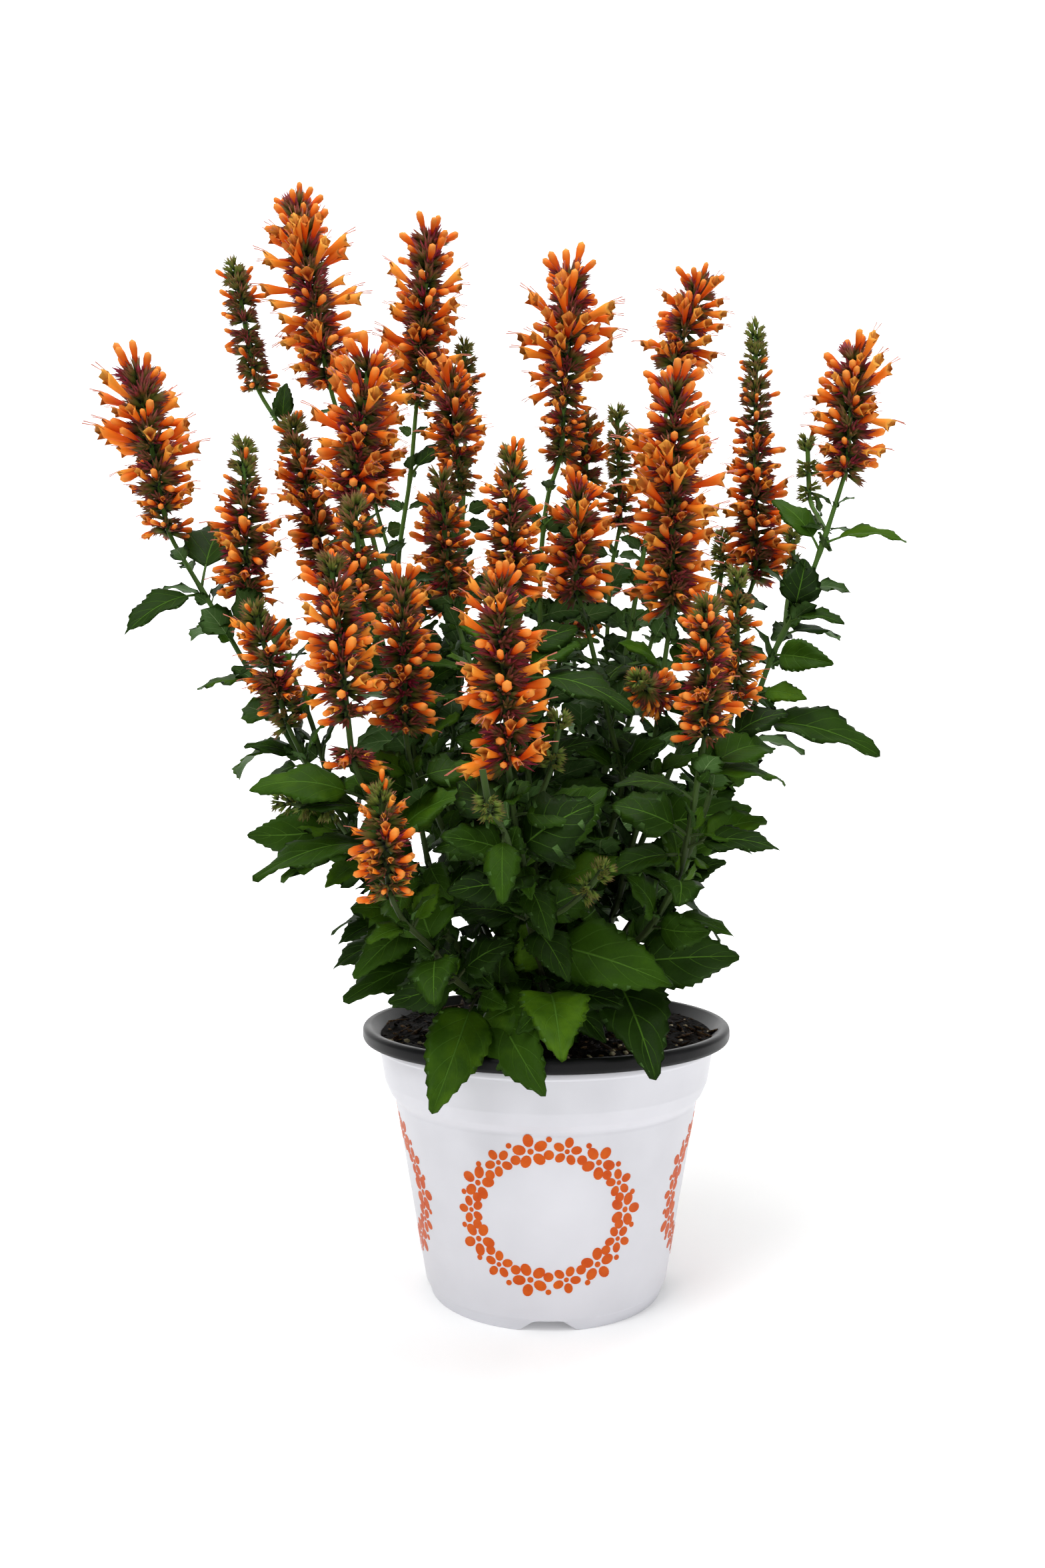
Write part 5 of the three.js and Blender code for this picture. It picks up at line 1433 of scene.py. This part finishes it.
def foliageTree():  # leaves along a guide line whose points say how large they may be
    tree, add, given = newTree("leavesOnShoot", {
        "Patterns": "Collection", "Stalks": "Object", "Pitch": "Float", "Axil Share": "Float",
        "Seed": "Int",
    })
    patterns = add("GeometryNodeCollectionInfo", {
        "Collection": given["Patterns"], "Separate Children": True, "Reset Children": True,
    })
    curve = add("GeometryNodeMeshToCurve", {"Mesh": given["Geometry"]})
    knots = add("GeometryNodeCurveToPoints", {"Curve": curve, "Length": given["Pitch"]}, mode="LENGTH")
    nodes = numbered(add, knots.outputs["Points"], "knot")
    knot = add("GeometryNodeInputNamedAttribute", {"Name": "knot"}, data_type="INT")
    size = add("GeometryNodeInputNamedAttribute", {"Name": "size"}, data_type="FLOAT")
    tangent = knots.outputs["Tangent"]
    outward = add(
        "ShaderNodeVectorMath", {0: add("GeometryNodeInputPosition"), 1: (1, 1, 0)}, operation="MULTIPLY",
    )
    away = add("ShaderNodeVectorMath", {0: outward}, operation="NORMALIZE")
    right = add("ShaderNodeVectorMath", {0: (0, 1, 0), 1: tangent}, operation="CROSS_PRODUCT")
    parts = [add("GeometryNodeObjectInfo", {"Object": given["Stalks"]}).outputs["Geometry"]]
    for rank, share in (("pairs", 1.0), ("axils", given["Axil Share"])):
        facts = foliage[rank]
        twins = add("GeometryNodeDuplicateElements", {"Geometry": nodes, "Amount": 2}, domain="POINT")
        lift = tuple(map(math.radians, facts["lift"]))
        ranges = [foliage["jitter"], lift, foliage["facing"], foliage["grade"], foliage["tint"]]
        draws = drawn(add, given["Seed"], ranges, foliage["seedStep"], facts["seed"])
        jitter, climb, facing, grade, tint = draws
        # the way the leaf grows: a quarter turn a knot, half a turn a twin, then lifted from square
        half = add(
            "ShaderNodeMath", {0: twins.outputs["Duplicate Index"], 1: math.pi, 2: facts["turn"]},
            operation="MULTIPLY_ADD",
        )
        quarter = add("ShaderNodeMath", {0: knot, 1: math.pi / 2, 2: half}, operation="MULTIPLY_ADD")
        angle = add("ShaderNodeMath", {0: quarter, 1: jitter}, operation="ADD")
        radial = add("ShaderNodeVectorRotate", {"Vector": right, "Axis": tangent, "Angle": angle})
        heading = raised(add, radial, tangent, climb)
        # the way its upper face looks: between straight up and straight out
        rise = add("ShaderNodeMath", {0: facing}, operation="COSINE")
        lean = add("ShaderNodeMath", {0: facing}, operation="SINE")
        upward = add("ShaderNodeVectorMath", {0: (0, 0, 1), "Scale": rise}, operation="SCALE")
        sideward = add("ShaderNodeVectorMath", {0: away, "Scale": lean}, operation="SCALE")
        normal = add("ShaderNodeVectorMath", {0: upward, 1: sideward}, operation="ADD")
        pose = add(
            "FunctionNodeAxesToRotation", {"Primary Axis": heading, "Secondary Axis": normal},
            primary_axis="Z", secondary_axis="Y",
        )
        portion = add("ShaderNodeMath", {0: grade, 1: share}, operation="MULTIPLY")
        grown = add("ShaderNodeMath", {0: size, 1: portion}, operation="MULTIPLY")
        enough = add("FunctionNodeCompare", {0: grown, 1: foliage["smallest"]}, operation="GREATER_THAN")
        scale = add("ShaderNodeMath", {0: grown, 1: foliage["patternLength"]}, operation="DIVIDE")
        last = foliage["patterns"] - 1
        choice = add("FunctionNodeRandomValue", {4: 0, 5: last, "Seed": given["Seed"]}, data_type="INT")
        parts.append(planted(add, tint, {
            "Points": twins, "Selection": enough, "Instance": patterns, "Pick Instance": True,
            "Instance Index": choice.outputs[2], "Rotation": pose, "Scale": scale,
        }))
    return endJoined(tree, add, parts)


def sizeAllowed(point):  # how long a leaf may be here: by height, and clear of the spikes round it
    if point.z < foliage["lowest"]:
        return 0.0
    height = view["height"] + (point.z - view["height"]) / spreadAt(point.y)
    size = np.interp(height, *zip(*foliage["sizes"]))
    for name in spikes:
        axis = spikeAxis(name)
        share = min(max(intersect_point_line(point, axis["base"], axis["tip"])[1], 0), 1)
        away = (point - axis["base"].lerp(axis["tip"], share)).length
        reach = along(axis["reach"], share) * axis["spread"]
        gap = away - reach * foliage["spikeShare"] - foliage["clear"]
        size = min(size, max(gap * foliage["perGap"], 0))
    return float(size)


def leafyLine(name, shoots):  # the shoots as bare lines that carry the size of the leaves
    points, edges = [], []
    for track in (shoot["track"] for shoot in shoots):
        steps = max(int(track.length / foliage["sample"]), 2)
        edges += [(len(points) + k, len(points) + k + 1) for k in range(steps)]
        points += [track.smooth(track.length * k / steps) for k in range(steps + 1)]
    return guideLine(name, points, edges, {"size": [sizeAllowed(point) for point in points]})


for stem in stems.values():
    layOut(stem)
patterns = leafPatterns()
leafTree = foliageTree()
leafCount = 0
for order, (name, stem) in enumerate(stems.items()):
    stride, first = foliage["seed"]
    build = Build()
    growStalk(build, stem)
    leafCount += sum(growLeaves(build, name, shoot) for shoot in shootsOf(stem))
    stalks = build.finish(name + "Stalks", [skin, blade], linked=False)
    piece = leafyLine("leafy" + name.title().replace("_", ""), shootsOf(stem))
    runTree(piece, leafTree, {
        "Patterns": patterns, "Stalks": stalks, "Pitch": foliage["pitch"] * mm,
        "Axil Share": foliage["axilShare"], "Seed": stride * order + first,
    })
    bpy.data.objects.remove(stalks)
    keepPiece(piece, "leaf", name)
for pattern in list(patterns.objects):
    bpy.data.objects.remove(pattern)
print("stems grown, with", leafCount, "leaves at the places of the solid ones")


# Florets. Each grows along +Z with its upper side to +Y. Rings are (height, radius) and lobes of the mouth
# (radius, how far past the mouth), from the upper side round.
floret = {
    "calyx": {
        "length": 11.5, "base": 0.9, "sides": 10, "bend": 0, "depth": 4.0,
        "teeth": ((11.5, 2.9), (6.6, 1.9)),
    },
    "bud": {
        "length": 17.5, "rings": [(0, 0.8), (8, 1.2), (13.5, 2.1), (16.2, 1.8)], "sides": 6, "bend": 1.0,
    },
    "corolla": {
        "length": 25, "rings": [(0, 0.8), (9, 1.2), (15, 2.0), (20.5, 2.8)], "sides": 8, "bend": 2.8,
        "lobes": [
            (2.0, 3.6), (2.2, 2.0), (3.9, 1.7), (2.6, 0.0), (5.2, 1.3), (2.6, 0.0), (3.9, 1.7), (2.2, 2.0),
        ],
        "mouth": 22.0, "throat": 14, "throatBend": 0.4,
    },
    "stamen": {
        "radius": 0.2, "knob": 1.6, "sides": 3, "start": 17, "length": 30, "spread": 1.6, "seat": 0.6,
        "arch": (1.6, 2.2),
    },
}


def roundPoint(radius, k, sides, height, lift=0.0):  # round the growing axis, numbered from the upper side
    a = -fullTurn * k / sides
    return Vector((radius * math.sin(a), lift + radius * math.cos(a), height))


def ringAt(build, facts, height, radius):
    share, sides = height / facts["length"], facts["sides"]
    lift = facts["bend"] * share ** 2
    return [build.add(roundPoint(radius, k, sides, height, lift), along=share) for k in range(sides)]


def calyxShape():
    facts = floret["calyx"]
    build = Build()
    lower = ringAt(build, facts, 0, facts["base"])
    rim = []
    for k in range(facts["sides"]):
        height, radius = facts["teeth"][k % 2]
        point = roundPoint(radius, k, facts["sides"], height)
        rim.append(build.add(point, along=height / facts["length"]))
    build.cup([lower, rim], Vector((0, 0, facts["depth"])), along=0.5)
    return build.finish("calyxShape", [husk], linked=False, labels=shapeValues)


def budShape():
    facts = floret["bud"]
    build = Build()
    rings = [ringAt(build, facts, height, radius) for height, radius in facts["rings"]]
    build.cup(rings, Vector((0, facts["bend"], facts["length"])), along=1.0)
    return build.finish("budShape", [petal], linked=False, labels=shapeValues)


def corollaShape():
    facts = floret["corolla"]
    bend = facts["bend"]
    build = Build()
    rings = [ringAt(build, facts, height, radius) for height, radius in facts["rings"]]
    lips = [
        build.add(roundPoint(radius, k, facts["sides"], facts["mouth"] + forward, bend), along=1.0)
        for k, (radius, forward) in enumerate(facts["lobes"])
    ]
    throat = Vector((0, bend * facts["throatBend"], facts["throat"]))
    build.cup([*rings, lips], throat, along=0.6, under=1.0)
    stamen = floret["stamen"]
    arch, turn = stamen["arch"]
    for side in (-1, 1):
        rows = []
        for share in (0, 0.5, 1):
            height = blended(stamen["start"], stamen["length"], share)
            lift = bend + stamen["seat"] + arch * math.sin(turn * share)
            centre = Vector((side * stamen["spread"] * share, lift, height))
            radius = stamen["radius"] * (stamen["knob"] if share == 1 else 1)
            sides = stamen["sides"]
            rows.append([
                build.add(centre + roundPoint(radius, k, sides, 0), along=share) for k in range(sides)
            ])
        build.tube(rows, slot=1)
    return build.finish("corollaShape", [petal, thread], linked=False, labels=shapeValues)


# Whorls: a ring of calyces at each pitch up a spike. A share of them holds an open floret or a bud, as far
# as the florets' reach there allows, and the small tips stay bare. "draws" has the random ranges per floret.
whorls = {
    "pitch": 10, "florets": 24, "seat": 1.6, "stalk": 1.5, "stalkSides": 8, "sample": 3, "stagger": 0.5,
    "lean": (-6, 40), "leanRise": 2.6, "steepest": 0.6, "openShare": 0.31, "budShare": 0.21,
    "earlyShare": 0.13, "earlyLimit": 8, "budLimit": 12.5, "bareLimit": 4.0, "headRoom": 0.45,
    "closedTop": 0.87, "seed": (53, 9), "seedStep": 17.0,
    "longest": 1.16, "grownBetween": (5.0, 20.0), "budSizes": (0.5, 1.05), "huskSizes": (0.5, 1.04),
    "budTint": (0.55, 1.0), "ripeBetween": (7.0, 14.0), "ripeness": (0.05, 1.0),
    "draws": {
        "turn": (-0.6, 0.6), "tilt": (-0.44, 0.44), "slip": (-0.42, 0.42), "kind": (0.0, 1.0),
        "length": (0.74, 1.16), "husk": (0.8, 1.15), "tint": (0.0, 1.0), "ripe": (0.4, 1.0),
    },
}


def spikeTree():  # whorls of calyces, buds and open florets up a guide line that carries their reach
    tree, add, given = newTree("whorlsOnSpike", {
        "Calyx": "Object", "Bud": "Object", "Corolla": "Object", "Pitch": "Float", "Florets": "Int",
        "Open Share": "Float", "Seed": "Int", "Stalk": "Material",
    })
    curve = add("GeometryNodeMeshToCurve", {"Mesh": given["Geometry"]})
    girth = add("GeometryNodeCurvePrimitiveCircle", {
        "Resolution": whorls["stalkSides"], "Radius": whorls["stalk"] * mm,
    })
    stalk = add("GeometryNodeCurveToMesh", {"Curve": curve, "Profile Curve": girth, "Fill Caps": True})
    parts = [add("GeometryNodeSetMaterial", {0: stalk, "Material": given["Stalk"]})]
    tiers = add("GeometryNodeCurveToPoints", {"Curve": curve, "Length": given["Pitch"]}, mode="LENGTH")
    tangent = tiers.outputs["Tangent"]
    middles = numbered(add, tiers.outputs["Points"], "tier")
    whorl = add(
        "GeometryNodeDuplicateElements", {"Geometry": middles, "Amount": given["Florets"]}, domain="POINT",
    )
    tier = add("GeometryNodeInputNamedAttribute", {"Name": "tier"}, data_type="INT")
    reach, share, opens, buds = (
        add("GeometryNodeInputNamedAttribute", {"Name": name}, data_type="FLOAT")
        for name in ("reach", "share", "opens", "buds")
    )
    ranges = whorls["draws"]
    draws = dict(zip(ranges, drawn(add, given["Seed"], ranges.values(), whorls["seedStep"])))
    # where each floret sits and points: round the stalk, then tilted up or down
    shifted = add(
        "ShaderNodeMath", {0: tier, 1: whorls["stagger"], 2: whorl.outputs["Duplicate Index"]},
        operation="MULTIPLY_ADD",
    )
    place = add("ShaderNodeMath", {0: shifted, 1: draws["turn"]}, operation="ADD")
    part = add("ShaderNodeMath", {0: place, 1: given["Florets"]}, operation="DIVIDE")
    angle = add("ShaderNodeMath", {0: part, 1: fullTurn}, operation="MULTIPLY")
    right = add("ShaderNodeVectorMath", {0: (0, 1, 0), 1: tangent}, operation="CROSS_PRODUCT")
    square = add("ShaderNodeVectorMath", {0: right}, operation="NORMALIZE")
    radial = add("ShaderNodeVectorRotate", {"Vector": square, "Axis": tangent, "Angle": angle})
    risen = add("ShaderNodeMath", {0: share, 1: whorls["leanRise"]}, operation="POWER")
    low, high = map(math.radians, whorls["lean"])
    lean = add("ShaderNodeMapRange", {"Value": risen, "To Min": low, "To Max": high})
    tilt = add("ShaderNodeMath", {0: lean, 1: draws["tilt"]}, operation="ADD")
    heading = raised(add, radial, tangent, tilt)
    pose = add(
        "FunctionNodeAxesToRotation", {"Primary Axis": heading, "Secondary Axis": tangent},
        primary_axis="Z", secondary_axis="Y",
    )
    slip = add("ShaderNodeMath", {0: draws["slip"], 1: given["Pitch"]}, operation="MULTIPLY")
    slid = add("ShaderNodeVectorMath", {0: tangent, "Scale": slip}, operation="SCALE")
    out = (whorls["seat"] * mm,) * 3
    seat = add("ShaderNodeVectorMath", {0: radial, 1: out, 2: slid}, operation="MULTIPLY_ADD")
    seats = add("GeometryNodeSetPosition", {"Geometry": whorl, "Offset": seat})
    # sizes: reach is in millimetres; the florets get as long as the room from seat to reach
    room = add("ShaderNodeMath", {0: reach, 1: whorls["seat"]}, operation="SUBTRACT")
    slant = add("ShaderNodeMath", {0: tilt}, operation="COSINE")
    gentle = add("ShaderNodeMath", {0: slant, 1: whorls["steepest"]}, operation="MAXIMUM")
    straight = add("ShaderNodeMath", {0: room, 1: gentle}, operation="DIVIDE")
    length = add("ShaderNodeMath", {0: straight, 1: draws["length"]}, operation="MULTIPLY")
    wanted = add("ShaderNodeMath", {0: length, 1: floret["corolla"]["length"]}, operation="DIVIDE")
    corollaScale = add("ShaderNodeMath", {0: wanted, 1: whorls["longest"]}, operation="MINIMUM")
    budScale, huskScale, ripening = (
        add("ShaderNodeMapRange", {
            "Value": reach, "From Min": near, "From Max": far, "To Min": small, "To Max": full,
        })
        for (near, far), (small, full) in (
            (whorls["grownBetween"], whorls["budSizes"]), (whorls["grownBetween"], whorls["huskSizes"]),
            (whorls["ripeBetween"], whorls["ripeness"]),
        )
    )
    budSize = add("ShaderNodeMath", {0: budScale, 1: draws["length"]}, operation="MULTIPLY")
    huskSize = add("ShaderNodeMath", {0: huskScale, 1: draws["husk"]}, operation="MULTIPLY")
    # which florets are there: a calyx at each, and a corolla or a bud on some
    covered = add("FunctionNodeCompare", {0: reach, 1: whorls["bareLimit"]}, operation="GREATER_THAN")
    chosen = add("FunctionNodeCompare", {0: draws["kind"], 1: given["Open Share"]}, operation="LESS_THAN")
    ready = add("FunctionNodeCompare", {0: opens, 1: 0.5}, operation="GREATER_THAN")
    isOpen = add("FunctionNodeBooleanMath", {0: chosen, 1: ready}, operation="AND")
    early = add("FunctionNodeCompare", {0: draws["kind"], 1: buds}, operation="LESS_THAN")
    notOpen = add("FunctionNodeBooleanMath", {0: isOpen}, operation="NOT")
    budding = add("FunctionNodeBooleanMath", {0: early, 1: notOpen}, operation="AND")
    isBud = add("FunctionNodeBooleanMath", {0: budding, 1: covered}, operation="AND")
    low, high = whorls["budTint"]
    redder = add("ShaderNodeMapRange", {"Value": draws["tint"], "To Min": low, "To Max": high})
    plum = add("ShaderNodeMath", {0: ripening, 1: draws["ripe"]}, operation="MULTIPLY")
    kinds = {
        "Calyx": (covered, huskSize, plum), "Bud": (isBud, budSize, redder),
        "Corolla": (isOpen, corollaScale, draws["tint"]),
    }
    for label, (selection, scale, tint) in kinds.items():
        shape = add("GeometryNodeObjectInfo", {"Object": given[label]})
        parts.append(planted(add, tint, {
            "Points": seats, "Selection": selection, "Instance": shape.outputs["Geometry"],
            "Rotation": pose, "Scale": scale,
        }))
    return endJoined(tree, add, parts)


def spikeLine(name):  # the spike's axis as a bare line with reach, share and whether florets open there
    axis = spikeAxis(name)
    steps = max(int(axis["length"] / whorls["sample"]), 4)
    shares = [k / steps for k in range(steps + 1)]
    flat = [along(axis["reach"], share) for share in shares]
    run = axis["length"] - whorls["headRoom"] * flat[-1] * axis["spread"]
    points = [axis["base"] + axis["direction"] * run * share for share in shares]
    isFull = [value >= whorls["budLimit"] for value in flat]
    return guideLine("flower" + name.title().replace("_", ""), points, [(k, k + 1) for k in range(steps)], {
        "reach": [value * axis["spread"] for value in flat], "share": shares,
        "opens": [float(full and share < whorls["closedTop"]) for full, share in zip(isFull, shares)],
        "buds": [
            whorls["openShare"] + whorls["budShare"] if full
            else whorls["earlyShare"] * float(value > whorls["earlyLimit"])
            for full, value in zip(isFull, flat)
        ],
    })


shapes = {"Calyx": calyxShape(), "Bud": budShape(), "Corolla": corollaShape()}
flowerTree = spikeTree()
for order, name in enumerate(spikes):
    stride, first = whorls["seed"]
    piece = spikeLine(name)
    runTree(piece, flowerTree, {
        **shapes, "Pitch": whorls["pitch"] * mm, "Florets": whorls["florets"],
        "Open Share": whorls["openShare"], "Seed": stride * order + first, "Stalk": skin,
    })
    keepPiece(piece, "flower", name)
for shape in shapes.values():
    bpy.data.objects.remove(shape)
print("spikes in flower")


# Stage: a pale floor that runs up into a wall, and large soft lamps. Lengths are metres, powers are watts.
stage = {
    "floor": 6.0, "wall": 3.0, "curve": 0.8, "curveSteps": 10, "back": 2.0, "width": 8.0,
    "paper": "#FFFFFF", "paperGlow": 0.12, "roomLight": 0.21,
    "lamps": {  # place, the point it looks at, size and power
        "keyLight": ((-0.8, -1.1, 1.8), (0.0, 0.0, 0.3), 1.0, 25.0),
        "fillLight": ((1.2, -1.2, 0.8), (0.0, 0.0, 0.2), 1.2, 7.0),
        "topLight": ((0.1, -0.05, 1.8), (0.0, 0.0, 0.2), 0.9, 17.0),
        "wallLight": ((0.0, 0.5, 1.2), (0.0, 2.0, 0.9), 1.6, 34.0),
    },
}


def studio():
    start, curve, steps = stage["back"] - stage["curve"], stage["curve"], stage["curveSteps"]
    turns = (math.radians(90 * k / steps) for k in range(1, steps + 1))
    rows = [
        (-stage["floor"], 0.0), (start, 0.0),
        *((start + curve * math.sin(a), curve * (1 - math.cos(a))) for a in turns),
        (stage["back"], stage["wall"]),
    ]
    build = Build()
    sides = (-stage["width"] / 2, stage["width"] / 2)
    edges = [[build.add(Vector((x, y, z)) / mm) for x in sides] for y, z in rows]
    for near, far in zip(edges, edges[1:]):
        build.face(near[0], near[1], far[1], far[0])
    colour = linear(stage["paper"])
    paper, _ = newMaterial(
        "backdropPaper", Roughness=0.9, Base_Color=colour, Emission_Color=colour,
        Emission_Strength=stage["paperGlow"],
    )
    build.finish("backdrop", [paper])
    world = bpy.data.worlds.new("softRoom")
    world.use_nodes = True
    world.node_tree.nodes["Background"].inputs["Color"].default_value = colour
    world.node_tree.nodes["Background"].inputs["Strength"].default_value = stage["roomLight"]
    bpy.context.scene.world = world
    for label, (spot, target, size, power) in stage["lamps"].items():
        lamp = bpy.data.lights.new(label, "AREA")
        lamp.size = size
        lamp.energy = power
        lampObject = newObject(label, lamp)
        lampObject.location = spot
        lampObject.rotation_euler = (Vector(target) - Vector(spot)).to_track_quat("-Z", "Y").to_euler()


studio()
bpy.context.scene.view_settings.view_transform = "Standard"
print("studio lit")
